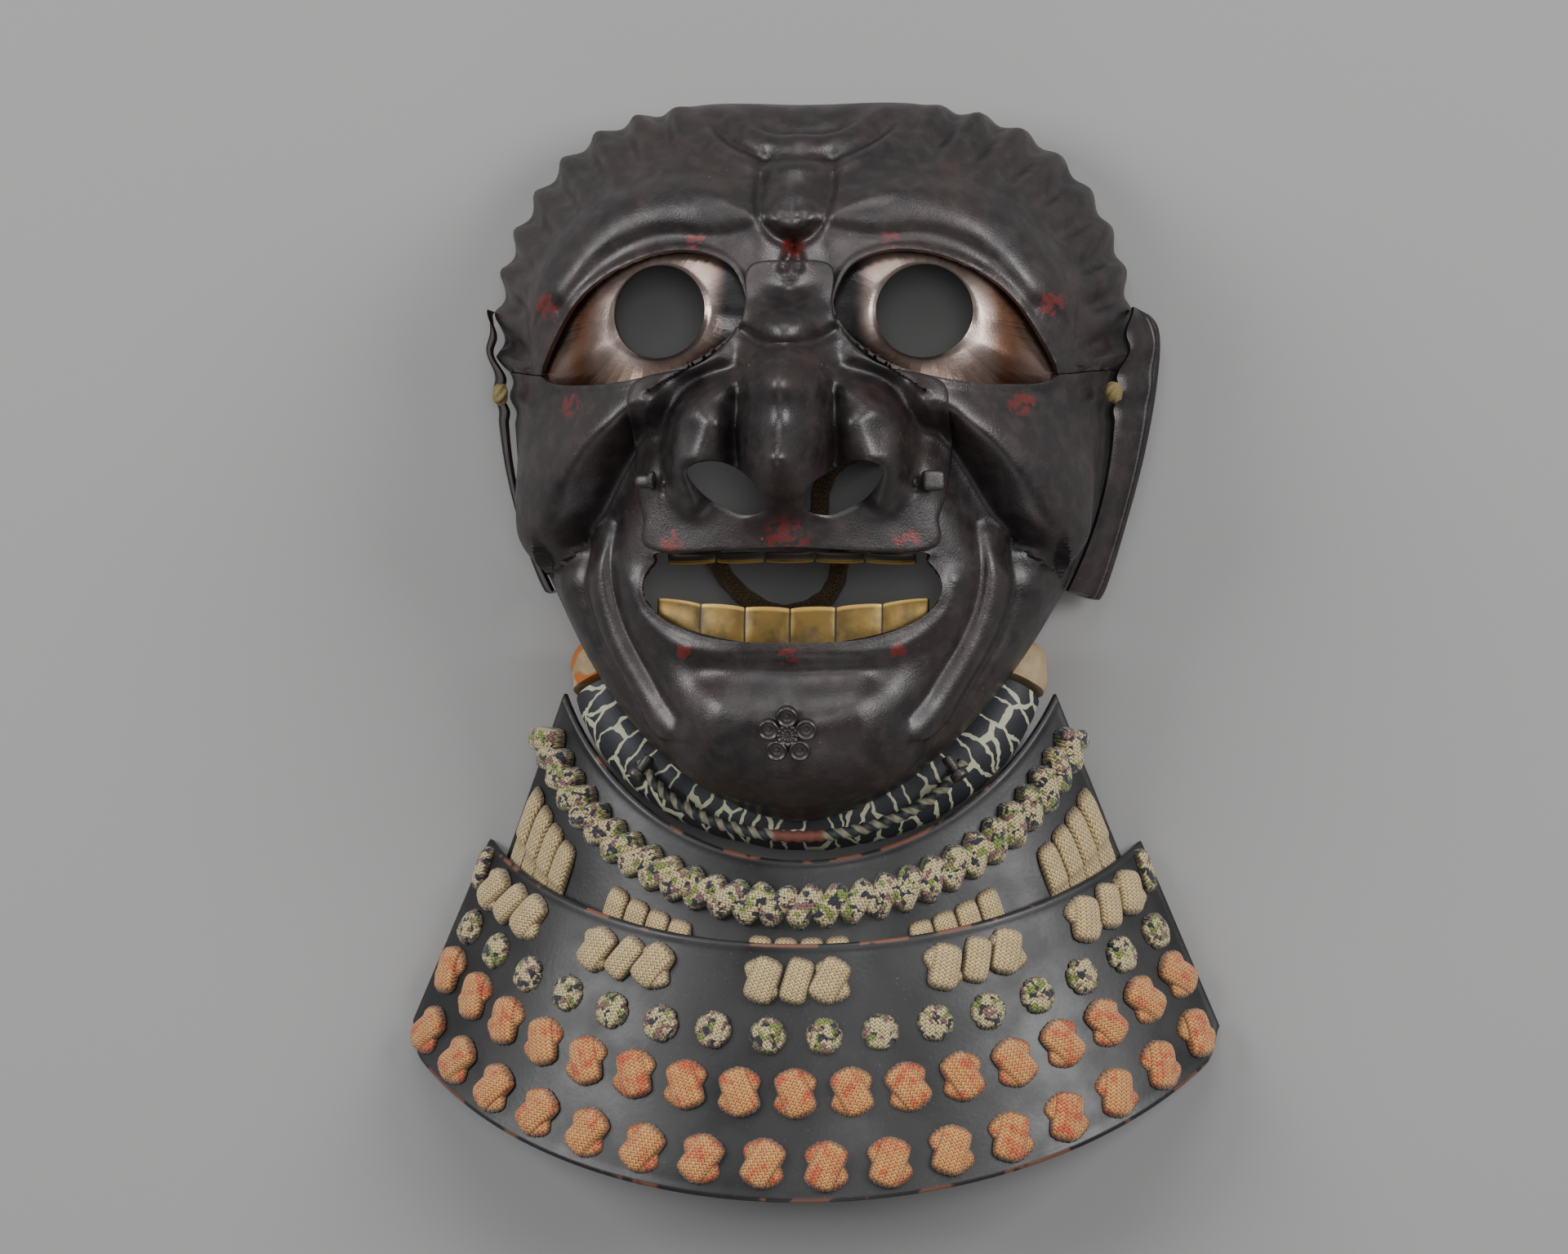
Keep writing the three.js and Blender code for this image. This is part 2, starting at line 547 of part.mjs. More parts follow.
function fittings() {
  for (const [word, side] of [['left', -1], ['right', 1]]) {
    const [hx, hy] = [41.6, 50];
    const hookBase = faceHeight(hx, hy) + GAP * 7.5 + IRON + sculpted(hx, hy, NOSE_RELIEF) + 2.6;
    const hook = new THREE.BoxGeometry(6.5, 6, 3.6);
    hook.rotateY(side * 0.35);
    hook.translate(side * hx, hy, hookBase + 2);
    addPiece(`nose_hook_${word}`, hook, 'iron');

    const knotDirection = [side, 0, 0.35];
    const knot = [[0, 0], [2.4, 0.3], [3.1, 2], [2.3, 3.8], [0, 4.4]];
    addPiece(`temple_knot_${word}`, turned(knot, 8, [side * 89.2, 77, 27], knotDirection), 'brown');

    const pegDirection = [side * 0.55, -0.75, 0.1];
    const peg = [[0, 0], [1.7, 0], [1.5, 4.6], [2.6, 5.2], [2.4, 7.4], [0, 7.8]];
    addPiece(`cord_peg_${word}`, turned(peg, 8, [side * 43.6, -30.2, 53], pegDirection), 'iron');
  }
}

// A five-petalled blossom of turned discs, lying on the chin.
function chinBlossom() {
  const { p, normal } = withNormal(facePoint, ...faceAt(0, BLOSSOM.y));
  const up = new THREE.Vector3().crossVectors(normal, new THREE.Vector3(1, 0, 0));
  const disc = (x, y, radius, lift) => {
    const place = p.clone().addScaledVector(normal, lift);
    place.x += x;
    place.addScaledVector(up, y);
    const profile = [[0, 0], [radius, 0], [radius * 0.8, BLOSSOM.thick], [0, BLOSSOM.thick]];
    return toSolid(turned(profile, 7, place.toArray(), normal.toArray()));
  };
  const petals = Array.from({ length: 5 }, (_, i) => {
    const angle = (i / 5 + 0.25) * 2 * Math.PI;
    const [x, y] = [BLOSSOM.reach * Math.cos(angle), BLOSSOM.reach * Math.sin(angle)];
    return disc(x, y, BLOSSOM.petal, BLOSSOM.lift);
  });
  const heart = disc(0, 0, BLOSSOM.heart, BLOSSOM.lift + 0.3);
  addPiece('chin_blossom', fromSolid(joined([heart, ...petals])), 'iron');
}

// ---------------------------------------------------------------- lames and lacing
// The fan of a lame: across runs from -1 to 1, down from 0 at its upper edge to 1.
function fan({ side, middle }) {
  return (across, down) => {
    const angle = across * FAN_ANGLE;
    const height = (Math.cos(angle) - Math.cos(FAN_ANGLE)) / (1 - Math.cos(FAN_ANGLE));
    const edge = [0, 1, 2].map((k) => mix(side[0][k], side[1][k], down));
    const y = mix(middle[0][0], middle[1][0], down);
    const z = mix(middle[0][1], middle[1][1], down);
    return [
      edge[0] * Math.sin(angle) / Math.sin(FAN_ANGLE),
      mix(edge[1], y, height),
      mix(edge[2], z, height),
    ];
  };
}

function fanPatch(surface, across, down, columns, rows, low, high) {
  const outer = [];
  const inner = [];
  for (let i = 0; i <= rows; i++) {
    outer.push([]);
    inner.push([]);
    for (let j = 0; j <= columns; j++) {
      const u = mix(across[0], across[1], j / columns);
      const v = typeof down === 'function' ? down(u, i / rows) : mix(down[0], down[1], i / rows);
      const top = typeof high === 'function' ? high(i / rows) : high;
      outer[i].push(lifted(surface, u, v, top));
      inner[i].push(lifted(surface, u, v, low));
    }
  }
  return plate(outer, inner, false);
}

// A block standing on a lame, tapered towards its top. Its outline has the given number of sides.
function block(surface, [across, down], { wide, tall, low, high, taper = 1, sides = 4 }) {
  const { p, normal, along } = withNormal(surface, across, down);
  const up = new THREE.Vector3().crossVectors(normal, along);
  const grow = 1 / Math.cos(Math.PI / sides) / 2;
  const layer = (size, lift) => Array.from({ length: sides }, (_, i) => {
    const angle = (i + 0.5) / sides * 2 * Math.PI;
    return p.clone().addScaledVector(along, wide * grow * size * Math.cos(angle))
      .addScaledVector(up, tall * grow * size * Math.sin(angle)).addScaledVector(normal, lift).toArray();
  });
  const triangles = [];
  for (let i = 0; i < sides; i++) {
    const next = (i + 1) % sides;
    triangles.push([i, next, next + sides], [i, next + sides, i + sides]);
    if (i > 0 && i + 1 < sides) triangles.push([0, i + 1, i], [sides, sides + i, sides + i + 1]);
  }
  return toSolid(outward(meshFrom([...layer(1, low), ...layer(taper, high)], triangles)));
}

const upperFan = fan(UPPER_LAME);
const lowerFan = fan(LOWER_LAME);
const HALF = LAME_THICKNESS / 2;

function rowPlaces({ count, down, pitch }) {
  return Array.from({ length: count }, (_, i) => [(i - (count - 1) / 2) * pitch, down]);
}

function lowerLame() {
  const cornered = (u, t) => t * (1 - ROUNDED_CORNER * smooth(0.9, 1, Math.abs(u)) ** 2);
  addPiece('lower_lame', fanPatch(lowerFan, [-1, 1], cornered, LAME_COLUMNS, 1, -HALF, HALF), 'lacquer');
}

// One stretch of a lacing row: pads strung on a flat thread that follows the lame.
function laceStretch(row, places) {
  const low = HALF + GAP;
  const pad = { wide: row.wide, tall: row.tall, low, high: low + row.thick, taper: 0.72, sides: row.sides };
  const pads = places.map((place) => block(lowerFan, place, pad));
  const reach = [places[0][0], places.at(-1)[0]];
  const down = [row.down - THREAD.share, row.down + THREAD.share];
  const thread = toSolid(fanPatch(lowerFan, reach, down, places.length - 1, 1, low, low + THREAD.thick));
  return joined([...pads, thread]);
}

function laceRows() {
  for (const row of LACE_ROWS) {
    const places = rowPlaces(row);
    const each = places.length / STRETCHES;
    for (let k = 0; k < STRETCHES; k++) {
      const part = places.slice(Math.round(k * each), Math.round((k + 1) * each));
      addPiece(`${row.name}_${k + 1}`, fromSolid(laceStretch(row, part)), row.silk);
    }
  }
}

// Each bundle of beige laces: fingers on the upper lame, and crossed pads on the lower one.
function laceGroups() {
  for (const { side, across, from, to } of GROUPS) {
    const top = HALF + GAP;
    const high = (t) => top + (t < 0.5 ? FINGER.thick * (0.45 + 0.55 * smooth(0, 0.25, t)) : FINGER.thin);
    const down = (u, t) => mix(FINGER.from, FINGER.to, t);
    const fingers = fanPatch(upperFan, [from, to], down, 3, 5, top, high);
    addPiece(`finger_lacing_${side}`, fingers, 'beige');
    const { wide, tall, thick } = GROUP_FRONT;
    const half = wide / 3 / FAN_SPREAD;
    const cross = (k) => ({ wide: wide / 2.6, tall: tall - 0.7 * k, low: top, high: top + thick - 0.3 * k,
      taper: 0.75 });
    const pads = [-1, 0, 1].map((k) => block(lowerFan, [across + k * half, GROUP_FRONT.down], cross(k)));
    addPiece(`crossed_lacing_${side}`, fromSolid(joined(pads)), 'beige');
  }
  for (const [word, sign] of [['left', -1], ['right', 1]]) {
    const edge = block(lowerFan, [sign * 0.965, 0.12],
      { wide: 6, tall: 14, low: HALF + GAP, high: HALF + GAP + 3.4, taper: 0.75, sides: 6 });
    addPiece(`edge_lacing_${word}`, fromSolid(edge), 'mixed');
  }
}

function upperLame() {
  addPiece('upper_lame', fanPatch(upperFan, [-1, 1], [0, 1], LAME_COLUMNS, 1, -HALF, HALF), 'lacquer');
}

// A tube of oval section along points, with flat ends.
function tube(points, sections, sides, sizeAt) {
  const curve = new THREE.CatmullRomCurve3(points.map((p) => new THREE.Vector3(...p)));
  const rings = [];
  const ends = [];
  for (let i = 0; i <= sections; i++) {
    const t = i / sections;
    const centre = curve.getPointAt(t);
    const ahead = curve.getTangentAt(t);
    const across = new THREE.Vector3().crossVectors(ahead, new THREE.Vector3(0, 0, 1)).normalize();
    const up = new THREE.Vector3().crossVectors(across, ahead);
    const [wide, high] = sizeAt(t);
    if (i === 0 || i === sections) ends.push(centre.toArray());
    rings.push(Array.from({ length: sides }, (_, k) => {
      const angle = k / sides * 2 * Math.PI;
      return centre.clone().addScaledVector(across, wide * Math.cos(angle))
        .addScaledVector(up, high * Math.sin(angle)).toArray();
    }));
  }
  const pointsOut = [...rings.flat(), ...ends];
  const triangles = [];
  const last = sections * sides;
  for (let j = 0; j < sides; j++) {
    const k = (j + 1) % sides;
    for (let i = 0; i < sections; i++) {
      const [a, b] = [i * sides, (i + 1) * sides];
      triangles.push([a + j, b + j, b + k], [a + j, b + k, a + k]);
    }
    triangles.push([last + sides, j, k], [last + sides + 1, last + k, last + j]);
  }
  return outward(meshFrom(pointsOut, triangles));
}

function laceRope() {
  const points = [];
  for (let i = 0; i <= 20; i++) {
    const u = mix(-ROPE.reach, ROPE.reach, i / 20);
    const down = mix(ROPE.middle, ROPE.ends, u ** 2);
    points.push(lifted(upperFan, u, down, HALF + GAP + ROPE.thick / 2 + 0.3));
  }
  addPiece('rope_lacing', tube(points, 26, 6, () => [ROPE.wide / 2, ROPE.thick / 2]), 'mixed');
}

// ---------------------------------------------------------------- collar roll and cord
function collarLine({ reach, side, middle }, from, to, parts) {
  return Array.from({ length: parts + 1 }, (_, i) => {
    const angle = mix(from, to, i / parts) * Math.PI / 2;
    const height = Math.cos(angle);
    return [reach * Math.sin(angle), mix(side[0], middle[0], height), mix(side[1], middle[1], height)];
  });
}

function collar() {
  const roll = () => [COLLAR.radius, COLLAR.radius];
  addPiece('collar_roll', tube(collarLine(COLLAR, -0.84, 0.84, 16), 18, COLLAR.sides, roll), 'print');
  const domed = (t) => Array(2).fill(COLLAR.radius * Math.sqrt(1 - 0.85 * t ** 3));
  for (const [word, sign] of [['left', -1], ['right', 1]]) {
    const line = collarLine(COLLAR, sign * 0.865, sign * 1.03, 4);
    addPiece(`collar_end_${word}`, tube(line, 3, COLLAR.sides, domed), 'hide');
  }
  const thin = () => [PIPING.radius, PIPING.radius];
  addPiece('collar_piping', tube(collarLine(PIPING, -0.8, 0.8, 16), 18, PIPING.sides, thin), 'print');
}

// The silk head cord runs from temple to temple and lies folded inside the face.
const CORD_ROUTE = [[-84, 77, 16], [-78, 74, 9], [-66, 66, 3.5], [-48, 52, 3.5], [-34, 36, 3.5],
  [-24, 20, 3.2], [-10, 12, 3.5], [4, 17, 3.5], [8, 30, 3.5], [2, 42, 3.5], [6, 56, 3.5], [22, 62, 3.5],
  [42, 60, 3.2], [62, 66, 3.5], [78, 74, 9], [84, 77, 16]];

function headCord() {
  addPiece('head_cord', tube(CORD_ROUTE, 28, CORD.sides, () => [CORD.radius, CORD.radius]), 'brown');
}

// ---------------------------------------------------------------- assembly
facePlates();
nosePlate();
addPiece('eye_plate_left', eyePlate(-1), 'copper');
addPiece('eye_plate_right', eyePlate(1), 'copper');
addPiece('upper_teeth', teeth(36, 29.4, -0.5, -1.8, 1.2, 5), 'gilt');
addPiece('lower_teeth', teeth(38, 5.2, 8, 6.2, 1.2, 6), 'gilt');
addPiece('ear_left', ear(-1, 0.35), 'iron');
addPiece('ear_right', ear(1, 1), 'iron');
fittings();
chinBlossom();
upperLame();
lowerLame();
laceRows();
laceGroups();
laceRope();
collar();
headCord();

const samuraiFaceGuard = new THREE.Group();
samuraiFaceGuard.add(face);
export default samuraiFaceGuard;
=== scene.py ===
"""Looks of a samurai face guard: sculpted russet iron, copper eyes, printed leather and silk lacing.

Lengths are in millimetres until a mesh is made. The face is a dome given by a direction (turn, in
degrees from the crown) and a share of the reach to the rim. A lame is part of a fan given by
across (-1 to 1) and down (0 at its upper edge, 1 at its lower one).
"""
import math

import bpy
import numpy as np
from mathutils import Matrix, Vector


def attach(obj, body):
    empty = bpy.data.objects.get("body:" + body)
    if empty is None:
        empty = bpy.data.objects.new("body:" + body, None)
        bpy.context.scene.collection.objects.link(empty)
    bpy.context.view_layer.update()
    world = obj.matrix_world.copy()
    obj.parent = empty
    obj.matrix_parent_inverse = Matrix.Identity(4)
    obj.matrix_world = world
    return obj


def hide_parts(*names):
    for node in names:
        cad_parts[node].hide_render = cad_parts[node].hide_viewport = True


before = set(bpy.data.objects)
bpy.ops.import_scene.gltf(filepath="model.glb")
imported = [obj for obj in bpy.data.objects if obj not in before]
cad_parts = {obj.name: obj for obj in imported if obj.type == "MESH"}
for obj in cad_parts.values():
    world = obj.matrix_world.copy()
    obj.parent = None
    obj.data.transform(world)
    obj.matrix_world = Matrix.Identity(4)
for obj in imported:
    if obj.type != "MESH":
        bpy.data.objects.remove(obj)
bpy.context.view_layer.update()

MM = 0.001
CENTRE_SHIFT = -2.02              # places the middle of the outline on the origin
GAP = 0.35                        # clearance between pieces that touch
TAU = 2 * math.pi

# ------------------------------------------------------------------ camera, light and floor
YAW = math.radians(5.5)           # the camera stands a little to the wearer's left
CAMERA_FAR = 2.0
AIM = (-0.0053, 0.0059, 0.040)
LENS = 156.2


def studio():
    """A camera nearly overhead, soft boxes on both sides and above the crown, and a grey floor."""
    camera = bpy.data.objects.new("camera", bpy.data.cameras.new("camera"))
    camera.data.lens = LENS
    camera.data.sensor_width = 36
    towards = Vector((math.sin(YAW), 0, math.cos(YAW)))
    camera.location = Vector(AIM) + towards * CAMERA_FAR
    camera.rotation_euler = (0, YAW, 0)
    bpy.context.scene.collection.objects.link(camera)
    bpy.context.scene.camera = camera

    boxes = {
        "soft_box_left": ((-1.3, 0.5, 1.05), 0.8, 24),
        "soft_box_right": ((1.3, 0.5, 1.05), 0.8, 26),
        "soft_box_crown": ((0.0, 1.35, 1.1), 1.0, 13),
        "soft_box_front": ((0.25, 0.1, 2.3), 0.35, 8),
        "soft_box_foot": ((0.1, -1.5, 0.9), 1.0, 4),
    }
    for name, (place, size, power) in boxes.items():
        light = bpy.data.objects.new(name, bpy.data.lights.new(name, "AREA"))
        light.data.size = size
        light.data.energy = power
        light.location = place
        light.rotation_euler = (Vector((0, 0, 0.03)) - Vector(place)).to_track_quat("-Z", "Y").to_euler()
        bpy.context.scene.collection.objects.link(light)
    world = bpy.data.worlds.new("studio")
    world.use_nodes = True
    world.node_tree.nodes["Background"].inputs["Color"].default_value = (0.8, 0.82, 0.85, 1)
    world.node_tree.nodes["Background"].inputs["Strength"].default_value = 0.2
    bpy.context.scene.world = world

    x, y = np.meshgrid(np.linspace(-3, 3, 3), np.linspace(-3, 3, 3))
    verts = np.stack([x.ravel(), y.ravel(), np.full(9, -0.0002)], -1)
    floor = bpy.data.meshes.new("floor")
    floor.from_pydata(verts.tolist(), [], grid_faces(3, 3).tolist())
    floor = bpy.data.objects.new("floor", floor)
    bpy.context.scene.collection.objects.link(floor)
    floor.data.materials.append(finish("grey_paper", (0.27, 0.265, 0.262), 0.95, grain=(900, 0.05)))


# ------------------------------------------------------------------ meshes
def grid_faces(rows, columns, wrap=False):
    """Quads between the rows and columns of a grid whose points are stored row by row."""
    last = columns if wrap else columns - 1
    i, j = np.meshgrid(np.arange(rows - 1), np.arange(last), indexing="ij")
    k = (j + 1) % columns
    quads = np.stack([i * columns + j, i * columns + k, (i + 1) * columns + k, (i + 1) * columns + j], -1)
    return quads.reshape(-1, 4)


def poled_faces(rows, sides):
    """Faces over rings of points, with a pole at each end; the two poles are stored last."""
    ring, pole = np.arange(sides), rows * sides
    follow = (ring + 1) % sides
    return [grid_faces(rows, sides, True),
            np.stack([np.full(sides, pole), follow, ring], -1),
            np.stack([np.full(sides, pole + 1), pole - sides + ring, pole - sides + follow], -1)]


def grid_normals(points):
    """Unit normals of closed rings of points, from the differences along and across them."""
    along_rows = np.gradient(points, axis=0)
    along_columns = (np.roll(points, -1, 1) - np.roll(points, 1, 1)) / 2
    normal = np.cross(along_rows, along_columns)
    normal /= np.linalg.norm(normal, axis=-1, keepdims=True) + 1e-12
    return normal


def add_mesh(name, points, faces, material, slot, uv=None, marks=None, sharp=50):
    """Puts points (mm) and faces (arrays of quads and triangles) into an object at the origin.

    The object replaces the solid of the same name.
    uv and marks hold one row for each point; marks become float attributes that materials read.
    """
    verts = np.asarray(points, float).reshape(-1, 3) * MM
    verts[:, 1] += CENTRE_SHIFT * MM
    faces = [f for f in faces if len(f)]
    loops = np.concatenate([f.ravel() for f in faces])
    sizes = np.concatenate([np.full(len(f), f.shape[1]) for f in faces])
    mesh = bpy.data.meshes.new(name)
    mesh.vertices.add(len(verts))
    mesh.vertices.foreach_set("co", verts.ravel())
    mesh.loops.add(len(loops))
    mesh.loops.foreach_set("vertex_index", loops.astype(np.int32))
    mesh.polygons.add(len(sizes))
    mesh.polygons.foreach_set("loop_start", np.concatenate([[0], np.cumsum(sizes)[:-1]]).astype(np.int32))
    mesh.polygons.foreach_set("use_smooth", np.ones(len(sizes), bool))
    if uv is not None:
        layer = mesh.uv_layers.new(name="UVMap")
        layer.data.foreach_set("uv", np.asarray(uv, float).reshape(-1, 2)[loops].ravel())
    for key, values in (marks or {}).items():
        mark = mesh.attributes.new(key, "FLOAT", "POINT")
        mark.data.foreach_set("value", np.asarray(values, float).ravel())
    mesh.update(calc_edges=True)
    mesh.validate()
    mesh.set_sharp_from_angle(angle=math.radians(sharp))
    piece = bpy.data.objects.new(name, mesh)
    bpy.context.scene.collection.objects.link(piece)
    mesh.materials.append(material)
    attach(piece, "root")
    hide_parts(name)
    return piece


def closed_between(outer, inner, faces):
    """A closed wall: the outer faces, the inner ones turned over, and quads along every open edge."""
    count = len(outer)
    edges = np.concatenate([np.stack([f, np.roll(f, -1, 1)], -1).reshape(-1, 2) for f in faces])
    forward = edges[:, 0] * count + edges[:, 1]
    backward = edges[:, 1] * count + edges[:, 0]
    rim = edges[~np.isin(forward, backward)]
    walls = np.stack([rim[:, 1], rim[:, 0], rim[:, 0] + count, rim[:, 1] + count], -1)
    turned = [f[:, ::-1] + count for f in faces]
    return np.concatenate([outer, inner]), [*faces, *turned, walls]


def drop_unused(points, faces, *columns):
    """Keeps only the points that some face uses."""
    used = np.unique(np.concatenate([f.ravel() for f in faces]))
    place = np.full(len(points), -1)
    place[used] = np.arange(len(used))
    return points[used], [place[f] for f in faces], [c[used] for c in columns]


def trimmed_faces(u, v, inside):
    """Trims a grid of closed rings along the line where inside(u, v) is nought.

    Of each grid edge that crosses the line, the nearer end is moved onto it, so that the faces
    that are kept end exactly there. It returns the moved u and v and the quads and triangles.
    """
    depth = inside(u, v)
    best = np.full(u.shape, 2.0)
    new_u, new_v = u.copy(), v.copy()
    every, first, second = slice(None), slice(None, -1), slice(1, None)
    for a, b in (((first, every), (second, every)), ((every, first), (every, second))):
        cross = (depth[a] > 0) != (depth[b] > 0)
        t = np.where(cross, depth[a] / np.where(cross, depth[a] - depth[b], 1), 9)
        cu, cv = u[a] + (u[b] - u[a]) * t, v[a] + (v[b] - v[a]) * t
        for end, far in ((a, t), (b, 1 - t)):
            closer = cross & (far <= 0.5) & (far < best[end])
            for target, value in ((new_u, cu), (new_v, cv), (best, far)):
                view = target[end]
                view[closer] = value[closer]
                target[end] = view
    cross = (depth[:, -1] > 0) != (depth[:, 0] > 0)
    t = np.where(cross, depth[:, -1] / np.where(cross, depth[:, -1] - depth[:, 0], 1), 9)
    step = u[:, 1] - u[:, 0]
    for column, far, sign in ((-1, t, 1), (0, 1 - t, -1)):
        closer = cross & (far <= 0.5) & (far < best[:, column])
        new_u[closer, column] = u[closer, column] + sign * step[closer] * far[closer]
        best[closer, column] = far[closer]
    state = np.where(best <= 0.5, 0, np.where(depth > 0, 1, -1)).ravel()
    quads = grid_faces(*u.shape, True)
    corner = state[quads]
    out = (corner < 0).sum(1)
    has_inside = (corner > 0).any(1) | (out == 0)
    whole = quads[(out == 0) & has_inside]
    partial = quads[(out == 1) & has_inside]
    missing = np.argmax(state[partial] < 0, axis=1)
    picks = (missing[:, None] + np.array([1, 2, 3])) % 4
    return new_u, new_v, [whole, np.take_along_axis(partial, picks, 1)]


# ------------------------------------------------------------------ outlines and distances
def spline(points, count, closed=False):
    """A Catmull-Rom curve through points, sampled count times in each span."""
    p = np.asarray(points, float)
    if closed:
        before, after, last = np.roll(p, 1, 0), np.roll(p, -1, 0), np.roll(p, -2, 0)
    else:
        p = np.vstack([2 * p[0] - p[1], p, 2 * p[-1] - p[-2]])
        before, p, after, last = p[:-3], p[1:-2], p[2:-1], p[3:]
    t = np.linspace(0, 1, count, endpoint=False)[:, None, None]
    curve = 0.5 * (2 * p + (after - before) * t + (2 * before - 5 * p + 4 * after - last) * t ** 2
                   + (3 * p - before - 3 * after + last) * t ** 3)
    curve = curve.transpose(1, 0, 2).reshape(-1, p.shape[1])
    return curve if closed else np.vstack([curve, after[-1]])


def steps_along(line):
    """Length of a line of points from its start to each of them."""
    return np.concatenate([[0], np.cumsum(np.linalg.norm(np.diff(line, axis=0), axis=1))])


def line_distance(x, y, line):
    """Distance from each place to a line of points."""
    place = np.stack([x, y], -1).reshape(-1, 1, 2)
    a, b = line[:-1], line[1:]
    along = ((place - a) * (b - a)).sum(-1) / ((b - a) ** 2).sum(-1)
    nearest = a + (b - a) * np.clip(along, 0, 1)[..., None]
    return np.sqrt(((place - nearest) ** 2).sum(-1)).min(1).reshape(np.shape(x))


def inside_outline(x, y, outline):
    """Signed distance to a closed outline, positive inside it."""
    ring = np.vstack([outline, outline[:1]])
    distance = line_distance(x, y, ring)
    ax, ay = outline[:, 0], outline[:, 1]
    bx, by = np.roll(ax, -1), np.roll(ay, -1)
    px, py = np.reshape(x, (-1, 1)), np.reshape(y, (-1, 1))
    spans = (ay > py) != (by > py)
    hit = px < (bx - ax) * (py - ay) / np.where(by == ay, 1, by - ay) + ax
    odd = ((spans & hit).sum(1) % 2 == 1).reshape(np.shape(x))
    return np.where(odd, distance, -distance)


def mirrored(half):
    """A whole outline from the half at positive x that starts and ends on the middle line."""
    half = np.asarray(half, float)
    return np.vstack([half, (half[half[:, 0] > 0] * (-1, 1))[::-1]])


def smooth(low, high, value):
    t = np.clip((value - low) / (high - low), 0, 1)
    return t * t * (3 - 2 * t)


# ------------------------------------------------------------------ the sculpted face
FACE_MIDDLE = 57                  # y of the middle of the dome
FACE_CREST = 84                   # height of the plain dome
IRON = 1.6
SCALLOP = {"start": 20, "stop": 84, "lobes": 10, "depth": 1.1}
# The outline from crown to chin: direction, reach from the middle, height of the rim.
RIM = np.array([
    (0, 106, 18), (21, 112.5, 16), (34, 116.8, 7), (45, 115.5, 0), (58, 109, 0), (68, 101.5, 0),
    (77, 92.8, 0), (90, 88.3, 3), (108, 85.3, 9), (122, 85, 19), (137, 88.2, 33), (152, 94.3, 44),
    (165, 101, 49), (180, 105.8, 50),
])

# A form lifts the iron by rise * exp(-(distance to its line / spread)^2). The two spreads hold
# on the left and on the right of the line as it is drawn, and both halves of the face match.
FACE_FORMS = [
    (5.5, 11, 9, [(9, 129), (24, 132), (42, 131), (58, 123), (70, 108)]),       # brow pad
    (5, 7, 7, [(0, 146), (0, 127)]),                                           # knob between the brows
    (-3, 1.8, 2.8, [(10.5, 146), (10.2, 131), (6.5, 122.5), (0, 119)]),        # crease round the knob
    (-2.6, 1.6, 1.8, [(0, 120), (2.2, 112)]),                                  # frown
    (-4.5, 8, 8, [(0, 117), (0, 108)]),                                        # hollow of the bridge
    (-1.5, 2.5, 4, [(9, 124), (22, 121), (40, 121.5), (56, 115), (69, 101)]),  # fold over the lid
    (-3, 7, 7, [(16, 88), (30, 80), (50, 77), (66, 77)]),                      # under the eye
    (12, 7, 14, [(72, 38), (69, 50), (61, 61), (51, 69), (43, 74)]),            # cheek
    (-9, 5, 7, [(43, 64), (50, 51), (57, 39), (66, 31)]),                      # hollow under the cheek
    (-2.4, 1.9, 2.3, [(52, 38), (54, 24), (50, 7), (40, -10), (33, -17)]),      # inner laugh line
    (-2.4, 1.9, 2.3, [(63, 33), (64, 19), (59, 3), (49, -14), (41, -24)]),      # outer laugh line
    (1.8, 3, 3, [(57.5, 35), (59, 21), (54.5, 5), (44.5, -12), (37, -20)]),      # fold between them
    (1.6, 3, 3, [(70, 24), (69, 10), (62, -6), (52, -18)]),                    # fold outside them
    (2.2, 3.6, 3.6, [(0, 0.5), (28, 1.5), (43, 10.5), (47.5, 21)]),            # lip
    (-3, 6, 6, [(0, -6), (24, -5)]),                                           # under the lip
    (13, 18, 16, [(0, -25), (20, -23)]),                                       # chin
    (-1.2, 3, 3, [(0, -14), (0, -36)]),                                        # cleft of the chin
]
NOSE_FORMS = [
    (2.5, 6, 6, [(0, 113), (0, 111)]),                                         # root of the nose
    (-3, 5.5, 5.5, [(0, 104.5), (0, 103.5)]),                                  # hollow under the root
    (4, 5.5, 5.5, [(-4, 96), (4, 96)]),                                        # fold over the bridge
    (-2.4, 1.6, 2, [(0, 88.5), (7, 89.5), (13.5, 93.5)]),                      # crease under the fold
    (9, 9, 9, [(0, 93), (0, 82)]),                                             # bridge
    (21, 11.8, 11.8, [(0, 74), (0, 57)]),                                      # ridge
    (9, 10, 10, [(0, 54), (0, 48)]),                                           # tip
    (14, 9, 9, [(22, 66), (25, 57)]),                                          # wing
    (4, 3.5, 3.5, [(12, 77), (22, 75), (31, 66), (32, 54), (27, 44)]),         # rim of the wing
    (-6, 2.6, 2.6, [(13.5, 76), (14.5, 62), (13, 50)]),                        # crease inside it
    (-3, 3, 5, [(15, 82), (26, 79), (35.5, 68), (36.5, 53)]),                  # crease outside it
    (2, 3, 3, [(20, 86), (34, 80), (41, 68)]),                                 # fold up to the eye
]
BROW_STEP = 3.5
BROW_EDGE = spline([(0, 127), (10, 131), (25, 138), (44, 138), (62, 130), (75, 118), (82, 100), (80, 84)], 6)
EYE = spline([(13, 104), (18, 113), (30, 117.3), (45, 115.2), (60, 107), (70, 94.5), (75, 80.8), (60, 78.2),
              (44, 79.6), (30, 83.6), (19, 90.5), (13.5, 98)], 8, closed=True)
PUPIL = (38.6, 99.3, 13.8)        # middle and radius
LID_TUCK = 2                      # how far the copper runs on under the lid
